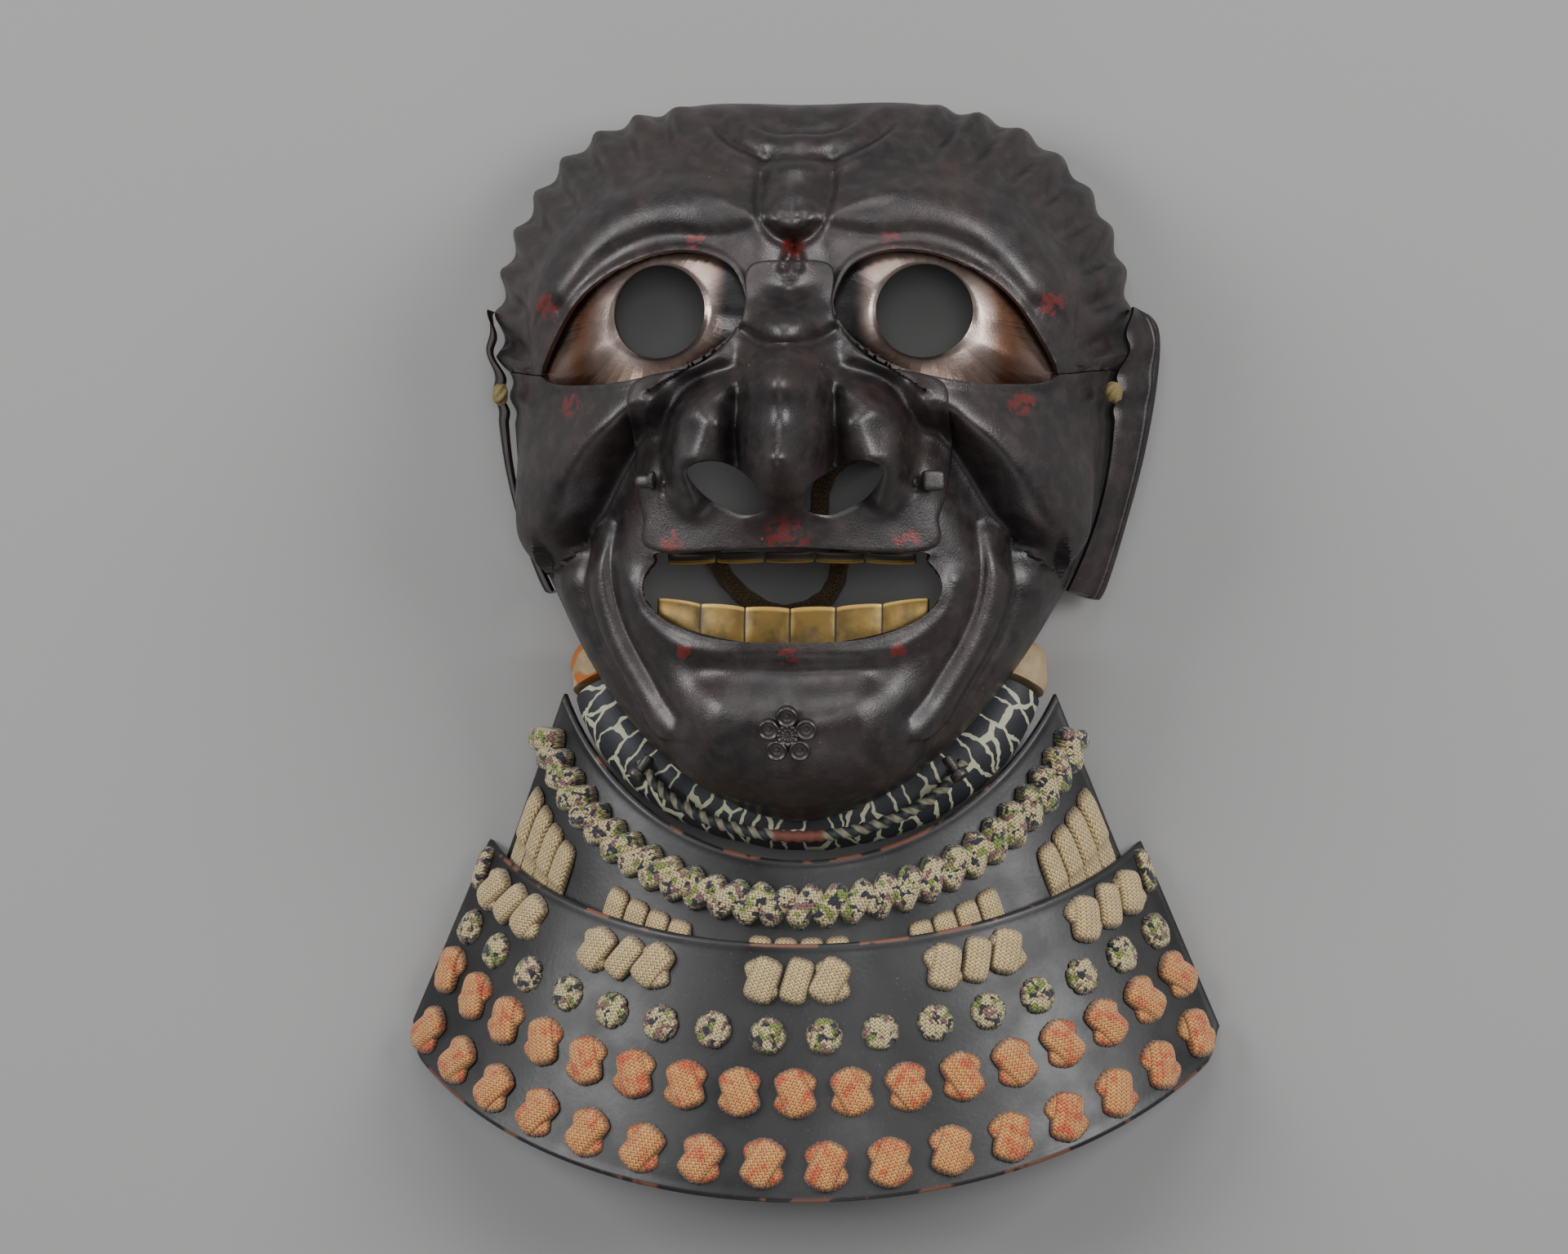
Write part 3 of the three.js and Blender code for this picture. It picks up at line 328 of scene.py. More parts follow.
MOUTH = spline(mirrored([(0, 3.4), (20, 4.2), (34, 8.4), (42, 14.5), (43.5, 21), (40, 26.5), (33, 30)]),
               8, closed=True)
NOSTRIL = spline([(28.2, 52), (25, 54.8), (17.6, 55), (10, 50.5), (6.5, 46), (6, 41.5), (11, 40), (15.5, 41),
                  (23.5, 45.5)], 8, closed=True)
NOSE_HOLLOW = 0.25                # the dome starts at this share of the reach, inside the opening
NOSE_OPENING = mirrored([(0, 80), (17, 77), (37, 71), (38.5, 50), (36, 38), (33, 22), (0, 22)])
NOSE_PLATE = spline(mirrored([(0, 114), (11.7, 112.3), (12.5, 102), (14, 95.5), (19.5, 88.4), (28, 82.9),
                              (44.5, 78.4), (46.2, 66), (45.4, 50), (43, 40), (39.3, 30), (0, 30.6)]),
                    12, closed=True)
NOSE_MIDDLE = 60                  # y from which the rings of the nose plate spread
NOSE_LIFT = 5 * GAP               # the nose plate clears the face by this
SEAM_X = [0, 13, 40, 74, 92, 120]
SEAM_Y = [97, 97, 92, 81.5, 84.5, 85]


def rim_at(turn):
    """Reach and height of the rim and the wave of its scallops, in any direction."""
    folded = np.abs((turn + 180) % 360 - 180)
    t, reach, low = RIM.T
    slope = np.zeros(len(t))
    slope[1:-1] = (reach[2:] - reach[:-2]) / (t[2:] - t[:-2])
    b = np.clip(np.searchsorted(t, folded), 1, len(t) - 1)
    a = b - 1
    span = t[b] - t[a]
    s = (folded - t[a]) / span
    smooth_reach = ((2 * s ** 3 - 3 * s ** 2 + 1) * reach[a] + (s ** 3 - 2 * s ** 2 + s) * slope[a] * span
                    + (3 * s ** 2 - 2 * s ** 3) * reach[b] + (s ** 3 - s ** 2) * slope[b] * span)
    start, stop = SCALLOP["start"], SCALLOP["stop"]
    inside = smooth(start - 4, start + 4, folded) * (1 - smooth(stop - 6, stop, folded))
    wave = np.cos((folded - start) / (stop - start) * SCALLOP["lobes"] * TAU) * inside
    return smooth_reach + SCALLOP["depth"] * wave, low[a] + (low[b] - low[a]) * s, wave


def lifted_by(x, y, forms):
    """Sum of the forms over places, with the side of each line told from the cross product."""
    across = np.abs(x)
    total = np.zeros(np.shape(x))
    for rise, left, right, line in forms:
        curve = spline(line, 6) if len(line) > 2 else np.asarray(line, float)
        place = np.stack([across, y], -1).reshape(-1, 1, 2)
        a, step = curve[:-1], np.diff(curve, axis=0)
        along = np.clip(((place - a) * step).sum(-1) / (step ** 2).sum(-1), 0, 1)[..., None]
        off = place - (a + step * along)
        distance = np.sqrt((off ** 2).sum(-1))
        near = distance.argmin(1)
        rows = np.arange(len(near))
        side = step[near, 0] * off[rows, near, 1] - step[near, 1] * off[rows, near, 0]
        spread = np.where(side > 0, left, right)
        total += rise * np.exp(-(distance[rows, near] / spread) ** 2).reshape(np.shape(x))
    return total


def inside_brow(x, y):
    """Distance from the edge of the brow pads, positive towards the eyes."""
    across = np.abs(x)
    edge = np.interp(across, BROW_EDGE[:41, 0], BROW_EDGE[:41, 1], right=-1)
    below = (y < np.where(across < 82, edge, -1)) | (y < 84)
    return line_distance(across, y, BROW_EDGE) * np.where(below, 1, -1)


def crown_folds(x, y):
    """Two nested arcs pressed into the iron under the crown."""
    radius = np.hypot(x, y - 178.5)
    low = sum(np.exp(-((radius - r) / 2.2) ** 2) - 0.9 * np.exp(-((radius - r - 4.4) / 2.8) ** 2)
              for r in (23, 33))
    return -2.2 * low * smooth(36, 24, np.abs(x))


def face_point(turn, share, fine=True):
    """The dome: x and y at share * reach, z = rim + sqrt(1 - share^2) * (crest - rim) + relief."""
    reach, low, wave = rim_at(turn)
    angle = np.radians(turn)
    x = share * reach * np.sin(angle)
    y = FACE_MIDDLE + share * reach * np.cos(angle)
    even = reach / (reach - SCALLOP["depth"] * wave) - 1
    plain = np.minimum(1, share * (1 + even * (1 - smooth(0.85, 1, share))))
    height = np.sqrt(np.maximum(0, 1 - plain ** 2))
    edge, fade = smooth(0.72, 1, plain), 1 - smooth(0.93, 1, plain)
    step = np.where(y > 80, BROW_STEP * (smooth(-2.5, 5, inside_brow(x, y)) - 1) * fade, 0)
    rise = lifted_by(x, y, FACE_FORMS) * fade + step
    furrowed = smooth(0.7, 0.95, share) * (1 - smooth(0.985, 1, share))
    rise = rise + 1.5 * wave * furrowed * smooth(1, -7, inside_brow(x, y))
    if fine:
        rise = rise + crown_folds(x, y) * fade
        lid = inside_outline(np.abs(x), y, EYE)
        rise = rise + 0.9 * np.exp(-((np.abs(lid) - 0.6) / 1.1) ** 2) + lap_band(x, y)
        rise = rise + 0.7 * np.exp(-(np.abs(inside_outline(x, y, MOUTH)) / 1.1) ** 2)
    rise = np.where(share < 1, rise, 0)
    lean = rise * edge * 0.8
    return np.stack([x + lean * np.sin(angle), y + lean * np.cos(angle),
                     low + height * (FACE_CREST - low) + rise * (1 - 0.6 * edge)], -1)


def lap_band(x, y):
    """The brow laps over the jaw in a low band from the corner of each eye to the temple."""
    over = y - np.interp(np.abs(x), SEAM_X, SEAM_Y)
    return 0.9 * smooth(-0.1, 0.4, over) * smooth(4.6, 4.0, over) * smooth(72, 76, np.abs(x))


def face_at(x, y):
    """Direction and share of the dome under a place."""
    dy = y - FACE_MIDDLE
    turn = np.degrees(np.arctan2(x, dy))
    return turn, np.minimum(0.999, np.hypot(x, dy) / rim_at(turn)[0])


def face_height(x, y):
    return face_point(*face_at(x, y), False)[..., 2]


def red_spots(x, y):
    """How much the red under-lacquer shows: worn spots on the forms that stand out."""
    spots = [(28, 120, 3), (74, 102, 4), (66, 73, 4), (0, -1, 3.4), (31, 1, 2.6), (0, 33, 7), (34, 33, 4),
             (1, 118, 3)]
    return sum(np.exp(-(((np.abs(x) - px) / size) ** 2 + ((y - py) / size) ** 2)) for px, py, size in spots)


def iron_mesh(name, points, faces, count=None, sharp=50):
    """A piece of iron; its points from count on are its inner side, and red shows on the outer one."""
    inside, red = np.zeros(len(points)), np.zeros(len(points))
    if count:
        inside, red = np.arange(len(points)) >= count, red_spots(points[:, 0], points[:, 1])
        points, faces, (inside, red) = drop_unused(points, faces, inside, red)
    marks = {"inside": inside, "red": red}
    add_mesh(name, points, faces, IRON_FINISH, "russet_iron", marks=marks, sharp=sharp)


def face_plate(name, keep, columns=560, rows=130):
    """One of the two iron plates: the part of the dome where keep(x, y) is positive."""
    share = np.sin(np.linspace(math.asin(NOSE_HOLLOW), math.pi / 2, rows))[:, None] * np.ones(columns)
    turn = np.linspace(0, 360, columns, endpoint=False)[None] * np.ones((rows, 1))

    def inside(turn, share):
        reach = rim_at(turn)[0]
        return keep(share * reach * np.sin(np.radians(turn)),
                    FACE_MIDDLE + share * reach * np.cos(np.radians(turn)))

    new_turn, new_share, faces = trimmed_faces(turn, share, inside)
    new_share[-1] = 1
    outer = face_point(new_turn, new_share)
    normal = -grid_normals(face_point(turn, share))
    normal[-1] = normal[-2]
    normal[-1, :, 2] = 0
    normal /= np.linalg.norm(normal, axis=-1, keepdims=True)
    inner = outer - IRON * normal
    points, faces = closed_between(outer.reshape(-1, 3), inner.reshape(-1, 3), [f[:, ::-1] for f in faces])
    iron_mesh(name, points, faces, outer[..., 0].size, sharp=48)


def face_plates():
    def openings(x, y):
        eyes = inside_outline(np.abs(x), y, EYE)
        return -np.maximum(np.maximum(eyes, inside_outline(x, y, MOUTH)), inside_outline(x, y, NOSE_OPENING))

    def seam(x):
        return np.interp(np.abs(x), SEAM_X, SEAM_Y)

    face_plate("brow_plate", lambda x, y: np.minimum(openings(x, y), y - seam(x)))
    face_plate("jaw_plate", lambda x, y: np.minimum(openings(x, y), seam(x) - GAP - y))


def nose_plate(columns=420, rows=66):
    """The nose plate lies over the face, ring by ring from its middle to its outline."""
    closed = np.vstack([NOSE_PLATE, NOSE_PLATE[:1]])
    steps = steps_along(closed)
    even = np.linspace(0, steps[-1], columns, endpoint=False)
    ring = np.stack([np.interp(even, steps, closed[:, k]) for k in (0, 1)], -1)
    share = (1 - np.linspace(1, 0, rows) ** 1.15)[:, None] * np.ones(columns)
    share[0] = 0.004
    turn = np.arange(columns)[None] * np.ones((rows, 1))

    def place(turn, share):
        at = np.stack([np.interp(turn % columns, np.arange(columns + 1), np.append(ring[:, k], ring[0, k]))
                       for k in (0, 1)])
        return at[0] * share, NOSE_MIDDLE + (at[1] - NOSE_MIDDLE) * share

    def inside(turn, share):
        x, y = place(turn, share)
        return -inside_outline(np.abs(x), y, NOSTRIL)

    new_turn, new_share, faces = trimmed_faces(turn, share, inside)
    x, y = place(new_turn, new_share)
    relief = lifted_by(x, y, NOSE_FORMS)
    base = face_height(x, y) + NOSE_LIFT
    hole = inside_outline(np.abs(x), y, NOSTRIL)
    rounded = 0.7 * np.exp(-np.abs(hole) / 0.5) + 0.6 * np.exp(-(1 - new_share) * 60 / 0.6)
    outer = np.stack([x, y, base + IRON + relief - rounded], -1).reshape(-1, 3)
    inner = np.stack([x, y, base + relief], -1).reshape(-1, 3)
    faces = [f[:, ::-1] for f in faces]
    points, faces = closed_between(outer, inner, faces)
    iron_mesh("nose_plate", points, faces, len(outer), sharp=48)


def smoothed_ring(values, width):
    """Each row of values round a ring, averaged with its neighbours."""
    return sum(np.roll(values, k, 1) for k in range(-width, width + 1)) / (2 * width + 1)


def eye_plates(columns=150, rows=20):
    """Copper eyes: rings from the pupil to the lid, tucked further under the iron near the lid."""
    ring = EYE[np.linspace(0, len(EYE), columns, endpoint=False).astype(int)]
    off = ring - PUPIL[:2]
    ring = PUPIL[:2] + off * (1 + LID_TUCK / np.linalg.norm(off, axis=1, keepdims=True))
    angle = np.arctan2(ring[:, 1] - PUPIL[1], ring[:, 0] - PUPIL[0])
    hole = np.stack([PUPIL[0] + PUPIL[2] * np.cos(angle), PUPIL[1] + PUPIL[2] * np.sin(angle)], -1)
    share = np.linspace(0, 1, rows)[:, None, None]
    flat = hole + (ring - hole) * share
    x, y = flat[..., 0], flat[..., 1]
    ends = smoothed_ring(face_height(x[[0, -1]], y[[0, -1]]), 9)
    z = ends[0] + (ends[1] - ends[0]) * share[..., 0] ** 1.6
    lean = np.stack([x - PUPIL[0], y - PUPIL[1]], -1) * 0.012
    normal = np.stack([lean[..., 0] + 0.25, lean[..., 1] + 0.1, np.ones_like(z)], -1)
    normal /= np.linalg.norm(normal, axis=-1, keepdims=True)
    under = 0.5 + (IRON + NOSE_LIFT - 0.5) * np.sqrt(share)
    bead = 0.4 * np.exp(-((share - 0.03) / 0.03) ** 2)
    outer = np.stack([x, y, z], -1) - normal * (under - bead)
    inner = outer - normal * (1 + bead)
    faces = [grid_faces(rows, columns, True)]
    count = rows * columns
    points, faces = closed_between(outer.reshape(-1, 3), inner.reshape(-1, 3), faces)
    for name, side in (("eye_plate_left", -1), ("eye_plate_right", 1)):
        turned = faces if side < 0 else [f[:, ::-1] for f in faces]
        place = points * (side, 1, 1)
        shares = np.tile(np.repeat(np.linspace(0, 1, rows), columns), 2)
        add_mesh(name, place, [f[:, ::-1] for f in turned], COPPER_FINISH, "copper_eye",
                 marks={"from_pupil": shares, "across": np.abs(place[:, 0]), "up": place[:, 1],
                        "inside": np.arange(len(points)) >= count})


# ------------------------------------------------------------------ materials
BUMP_DEPTH = 0.0004


def finish(name, colour, roughness, metallic=0.0, *, grain, build=None):
    """A material with a bump of grain = (scale, strength); build(tree, shader, noise) lays down more."""
    material = bpy.data.materials.new(name)
    material.use_nodes = True
    tree = Tree(material.node_tree)
    shader = material.node_tree.nodes["Principled BSDF"]
    shader.inputs["Base Color"].default_value = (*colour, 1)
    shader.inputs["Roughness"].default_value = roughness
    shader.inputs["Metallic"].default_value = metallic
    height = tree.noise(grain[0], 4)
    if build:
        height = build(tree, shader, height)
    bump = tree.node("Bump", Height=height, Strength=grain[1], Distance=BUMP_DEPTH)
    tree.put(shader.inputs["Normal"], bump.outputs["Normal"])
    return material


class Tree:
    """Short names for the shader nodes that the finishes share."""

    def __init__(self, nodes):
        self.nodes = nodes
        self.place = nodes.nodes.new("ShaderNodeTexCoord").outputs["Object"]

    def node(self, kind, **inputs):
        made = self.nodes.nodes.new("ShaderNode" + kind)
        for key, value in inputs.items():
            self.put(made.inputs[key.replace("_", " ")], value)
        return made

    def put(self, socket, value):
        if isinstance(value, bpy.types.NodeSocket):
            self.nodes.links.new(value, socket)
        else:
            socket.default_value = value

    def noise(self, scale, detail=3):
        made = self.node("TexNoise", Vector=self.place, Scale=scale, Detail=detail, Roughness=0.55)
        return made.outputs["Fac"]

    def uv(self):
        return self.nodes.nodes.new("ShaderNodeUVMap").outputs["UV"]

    def mark(self, name):
        made = self.nodes.nodes.new("ShaderNodeAttribute")
        made.attribute_name = name
        return made.outputs["Fac"]

    def ramp(self, value, low, high, to_low=0.0, to_high=1.0):
        made = self.node("MapRange", Value=value)
        made.interpolation_type = "SMOOTHSTEP"
        for key, number in zip(("From Min", "From Max", "To Min", "To Max"), (low, high, to_low, to_high)):
            made.inputs[key].default_value = number
        return made.outputs["Result"]

    def math(self, operation, a, b=0.0):
        made = self.nodes.nodes.new("ShaderNodeMath")
        made.operation = operation
        self.put(made.inputs[0], a)
        self.put(made.inputs[1], b)
        return made.outputs[0]

    def blend(self, share, a, b):
        made = self.nodes.nodes.new("ShaderNodeMix")
        made.data_type = "RGBA"
        self.put(made.inputs[0], share)
        self.put(made.inputs[6], a if not isinstance(a, tuple) else (*a, 1))
        self.put(made.inputs[7], b if not isinstance(b, tuple) else (*b, 1))
        return made.outputs[2]


def iron(tree, shader, grain):
    """Dark russet lacquer over hammered iron: rust mottling, pale grazes, red under-lacquer."""
    broad = tree.noise(38, 5)
    mottled = tree.ramp(tree.noise(210, 6), 0.42, 0.68)
    colour = tree.blend(tree.ramp(broad, 0.4, 0.62), (0.012, 0.009, 0.0098), (0.023, 0.0142, 0.0138))
    colour = tree.blend(tree.math("MULTIPLY", mottled, 0.42), colour, (0.05, 0.037, 0.033))
    specks = tree.math("MULTIPLY", tree.ramp(tree.noise(900, 2), 0.7, 0.76), tree.ramp(broad, 0.35, 0.7))
    colour = tree.blend(specks, colour, (0.14, 0.105, 0.09))
    red = tree.math("MULTIPLY", tree.mark("red"), tree.ramp(tree.noise(330, 5), 0.36, 0.56))
    colour = tree.blend(tree.ramp(red, 0.25, 0.6), colour, (0.11, 0.012, 0.010))
    inner = tree.blend(tree.ramp(tree.noise(60, 4), 0.35, 0.7), (0.03, 0.008, 0.008), (0.07, 0.014, 0.013))
    colour = tree.blend(tree.mark("inside"), colour, inner)
    tree.put(shader.inputs["Base Color"], colour)
    tree.put(shader.inputs["Roughness"], tree.ramp(tree.noise(120, 5), 0.3, 0.75, 0.34, 0.52))
    shader.inputs["Specular IOR Level"].default_value = 0.75
    hammer = tree.math("MULTIPLY", tree.noise(120, 2), 0.6)
    return tree.math("ADD", tree.math("MULTIPLY", grain, 0.5), hammer)


def copper(tree, shader, grain):
    """Polished copper, silvery round the pupil, browner outside and blue-black towards the nose."""
    near = tree.mark("from_pupil")
    across = tree.mark("across")
    colour = tree.blend(tree.ramp(near, 0.05, 0.7), (0.30, 0.235, 0.21), (0.22, 0.15, 0.12))
    wave = tree.math("ADD", across, tree.math("MULTIPLY", tree.noise(60, 3), 8))
    outer = tree.math("MULTIPLY", tree.ramp(wave, 60, 66), tree.ramp(wave, 73, 67))
    colour = tree.blend(tree.math("MULTIPLY", outer, 0.8), colour, (0.16, 0.065, 0.03))
    patina = tree.math("ADD", across, tree.math("MULTIPLY", tree.noise(45, 3), 5))
    colour = tree.blend(tree.ramp(patina, 27, 21), colour, (0.035, 0.033, 0.034))
    colour = tree.blend(tree.mark("inside"), colour, (0.05, 0.03, 0.025))
    tree.put(shader.inputs["Base Color"], colour)
    tree.put(shader.inputs["Roughness"], tree.ramp(tree.noise(90, 3), 0.3, 0.7, 0.24, 0.4))
    return grain


IRON_FINISH = finish("russet_iron", (0.03, 0.02, 0.02), 0.4, 0.25, grain=(1500, 0.5), build=iron)
COPPER_FINISH = finish("copper_eye", (0.35, 0.28, 0.25), 0.3, 0.85, grain=(1100, 0.12), build=copper)


# ------------------------------------------------------------------ lames
FAN_ANGLE = math.radians(65)
UPPER_LAME = {"side": [(73, -12, 16), (94.5, -68, 1.5)], "middle": [(-60.5, 46), (-102, 50.5)]}
LOWER_LAME = {"side": [(97.4, -56, 0.65), (123, -116, 0.65)], "middle": [(-84.6, 55), (-159.4, 63)]}
HALF = 1.0                        # half the thickness of a lame


def fan(lame, across, down):
    """x = side.x * sin(a) / sin(65), y and z blend from the side edge to the middle line by cos(a)."""
    across, down = np.broadcast_arrays(np.asarray(across, float), np.asarray(down, float))
    angle = across * FAN_ANGLE
    height = (np.cos(angle) - math.cos(FAN_ANGLE)) / (1 - math.cos(FAN_ANGLE))
    top, foot = np.array(lame["side"], float)
    edge = top + (foot - top) * down[..., None]
    middle_top, middle_foot = np.array(lame["middle"], float)
    middle = middle_top + (middle_foot - middle_top) * down[..., None]
    yz = edge[..., 1:] + (middle - edge[..., 1:]) * height[..., None]
    x = edge[..., 0] * np.sin(angle) / math.sin(FAN_ANGLE)
    return np.concatenate([x[..., None], yz], -1)


def fan_slopes(lame, across, down):
    step = 1e-3
    by_across = (fan(lame, across + step, down) - fan(lame, across - step, down)) / (2 * step)
    by_down = (fan(lame, across, down + step) - fan(lame, across, down - step)) / (2 * step)
    return by_across, by_down


def on_fan(lame, across, down, lift):
    """Points above a lame, moved along its normal."""
    by_across, by_down = fan_slopes(lame, across, down)
    normal = np.cross(by_down, by_across)
    normal /= np.linalg.norm(normal, axis=-1, keepdims=True)
    return fan(lame, across, down) + normal * np.asarray(lift)[..., None]


def near_on_fan(lame, centre, right, up, lift):
    """Points at millimetres right and up from a centre on the lame, measured along its surface."""
    by_across, by_down = fan_slopes(lame, *np.array(centre, float))
    along = by_across / np.linalg.norm(by_across)
    normal = np.cross(by_down, by_across)
    upward = np.cross(normal / np.linalg.norm(normal), along)
    slopes = np.array([[by_across @ along, by_down @ along], [by_across @ upward, by_down @ upward]])
    steps = np.linalg.solve(slopes, np.stack([right.ravel(), up.ravel()])).reshape(2, *right.shape)
    return on_fan(lame, centre[0] + steps[0], centre[1] + steps[1], lift)


def lame_plate(name, lame, corner, columns=220, rows=44):
    """A lame with a low rolled edge; the mark holds the distance from its edge in millimetres."""
    share = (1 - np.cos(np.linspace(0, math.pi, rows))) / 2
    across = np.sin(np.linspace(-math.pi / 2, math.pi / 2, columns))[None] * np.ones((rows, 1))
    across = across * 0.35 + np.linspace(-1, 1, columns)[None] * 0.65
    down = share[:, None] * (1 - corner * smooth(0.9, 1, np.abs(across)) ** 2)
    wide, tall = (np.linalg.norm(slope, axis=-1) for slope in fan_slopes(lame, across, down))
    lowest = 1 - corner * smooth(0.9, 1, np.abs(across)) ** 2
    from_edge = np.minimum((1 - np.abs(across)) * wide, np.minimum(down, lowest - down) * tall)
    roll = 0.35 * np.exp(-((from_edge - 1.2) / 1.0) ** 2) - 0.5 * np.exp(-from_edge / 0.35)
    wavy = 0.25 * np.sin(across * 7) * np.sin(down * 5)
    outer = on_fan(lame, across, down, HALF + roll + wavy * smooth(0, 8, from_edge)).reshape(-1, 3)
    inner = on_fan(lame, across, down, -HALF + 0.3 * np.exp(-from_edge / 0.35)).reshape(-1, 3)
    points, faces = closed_between(outer, inner, [grid_faces(rows, columns)[:, ::-1]])
    add_mesh(name, points, faces, LACQUER_FINISH, "black_lacquer",
             marks={"from_edge": np.tile(from_edge.ravel(), 2)})


# ------------------------------------------------------------------ silk lacing
ROWS = {                          # crosses in a row, how far down, pitch; size and slant of a cross
    "dot_lacing": (16, 0.36, 0.1225, (6.6, 10.4, 12)),
    "orange_lacing_upper": (17, 0.582, 0.1165, (9.6, 14.2, -27)),
    "orange_lacing_lower": (16, 0.86, 0.123, (9.8, 14.4, 28)),
}
STRETCHES = 4                     # pieces that each row is made of
STRAND = 1.3                      # width of a strand at the ends of a band
GROUPS = {                        # where a group lies; both sides of its fingers and their tips
    "far_left": (-0.8, -0.97, -0.72, 0.43, 0.50),
    "left": (-0.42, -0.57, -0.3, 0.515, 0.55),
    "middle": (0, -0.14, 0.14, 0.545, 0.545),
    "right": (0.42, 0.3, 0.57, 0.55, 0.515),
    "far_right": (0.8, 0.72, 0.97, 0.50, 0.43),
}
GROUP_DOWN = 0.145
FINGERS = 4
FINGER_LENGTH = 17
UPPER_ARC = 138                   # half the length of the upper lame along its curve
chance = np.random.default_rng(7)


class Bands:
    """Gathers short braided bands; each is a pillow with its own UV in millimetres of braid."""

    def __init__(self):
        self.points, self.faces, self.uv, self.tint, self.edge, self.count = [], [], [], [], [], 0

    def add(self, place, width, length, height, low, rows=18, columns=13, blunt=6, tint=None):
        """place(right, up, lift) puts braid coordinates into space.

        The top stands height * sqrt(1 - |t|^2.6) * sqrt(1 - |s|^blunt) above the underside.
        """
        t, s = np.meshgrid(np.linspace(-1, 1, columns), np.linspace(-1, 1, rows))
        lobe = 0.3 * np.abs(np.cos(t * width / STRAND * math.pi / 2))
        right = t * width / 2 * (1 - 0.12 * s ** 4)
        up = s * (length / 2 + lobe * np.abs(s) - 0.14 * width * np.abs(t) ** 3)
        dome = np.sqrt(np.clip(1 - np.abs(t) ** 2.6, 0, 1)) * np.sqrt(np.clip(1 - np.abs(s) ** blunt, 0, 1))
        top = low + height * (0.16 + 0.84 * dome)
        outer = place(right, up, top).reshape(-1, 3)
        inner = place(right, up, np.full(top.shape, low)).reshape(-1, 3)
        points, faces = closed_between(outer, inner, [grid_faces(rows, columns)])
        self.points.append(points)
        self.faces += [f + self.count for f in faces]
        start = chance.integers(0, 40) * STRAND
        self.uv.append(np.tile(np.stack([right.ravel(), up.ravel()], -1), (2, 1)) + start)
        self.tint.append(np.full(len(points), chance.random() if tint is None else tint))
        # The edge mark carries a painted shadow: the braid darkens towards the edges of each band.
        self.edge.append(np.tile(np.maximum(np.abs(t), np.abs(s)).ravel(), 2))
        self.count += len(points)

    def build(self, name, material, slot):
        add_mesh(name, np.vstack(self.points), self.faces, material, slot, uv=np.vstack(self.uv), sharp=70,
                 marks={"tint": np.concatenate(self.tint), "edge": np.concatenate(self.edge)})


def turned_band(lame, centre, degrees, offset=0):
    """Places a band beside a point of a lame with its length turned clockwise from upright."""
    cos, sin = math.cos(math.radians(degrees)), math.sin(math.radians(degrees))

    def place(right, up, lift):
        return near_on_fan(lame, centre, right * cos + up * sin + offset, up * cos - right * sin, lift)
    return place


def cross(bands, centre, size):
    """Two bands that cross: the lower one shows at two corners of the upper one."""
    width, length, slant = size
    wobble = chance.normal(0, 2.5)
    for turn, wide, high, low in ((-slant, 0.9 * width, 3.2 * 0.55, 0.1), (slant, width, 3.2, 0.3)):
        bands.add(turned_band(LOWER_LAME, centre, turn + wobble), wide, length, high, HALF + low, blunt=4)


def dot(bands, centre, size):
    """A round dot: a band over another that lies across it."""
    width, length, slant = size
    bands.add(turned_band(LOWER_LAME, centre, 90 + slant), width, length, 1.9, HALF + 0.1, blunt=3)
    bands.add(turned_band(LOWER_LAME, centre, slant), width + 1.2, length, 2.7, HALF + 0.3, blunt=3, tint=0.5)


def lace_rows():
    """Rows of dots and crosses along the lower lame, each in four stretches."""
    for name, (count, down, pitch, size) in ROWS.items():
        shape, silk_finish, slot = dot, SILK_MIXED, "mixed_silk"
        if name.startswith("orange"):
            shape, silk_finish, slot = cross, SILK_ORANGE, "orange_silk"
        for k in range(STRETCHES):
            bands = Bands()
            each = count / STRETCHES
            for i in range(round(k * each), round((k + 1) * each)):
                centre = ((i - (count - 1) / 2) * pitch, down + chance.normal(0, 0.004))
                shape(bands, centre, size)
            bands.build(f"{name}_{k + 1}", silk_finish, slot)


def lace_groups():
    """Three crosses of beige braid on the lower lame, and four flat fingers on the upper one."""
    for side, (across, left, right, tip_left, tip_right) in GROUPS.items():
        bands = Bands()
        centre = (across, GROUP_DOWN)
        for x, slant in ((-10.2, -24), (10.4, -22)):
            bands.add(turned_band(LOWER_LAME, centre, slant, x), 7.6, 13, 2.2, HALF + 0.1)
        for x, width, high in ((-9.6, 9.2, 3.7), (0.2, 8.2, 3.3), (9.6, 9.4, 3.7)):
            slant = 26 + chance.normal(0, 3)
            bands.add(turned_band(LOWER_LAME, centre, slant, x), width, 13.6, high, HALF + 0.3, blunt=4)
        bands.build(f"crossed_lacing_{side}", SILK_BEIGE, "beige_silk")

        fingers = Bands()
        for i in range(FINGERS):
            share = (i + 0.5) / FINGERS
            finger(fingers, left + (right - left) * share, tip_left + (tip_right - tip_left) * share,
                   1 if across <= 0 else -1)
        fingers.build(f"finger_lacing_{side}", SILK_BEIGE, "beige_silk")
    for word, sign in (("left", -1), ("right", 1)):
        edge = Bands()
        edge.add(turned_band(LOWER_LAME, (sign * 0.962, 0.115), 20 * sign), 5, 13, 2.6, HALF + 0.2, blunt=4)
        edge.build(f"edge_lacing_{word}", SILK_MIXED, "mixed_silk")


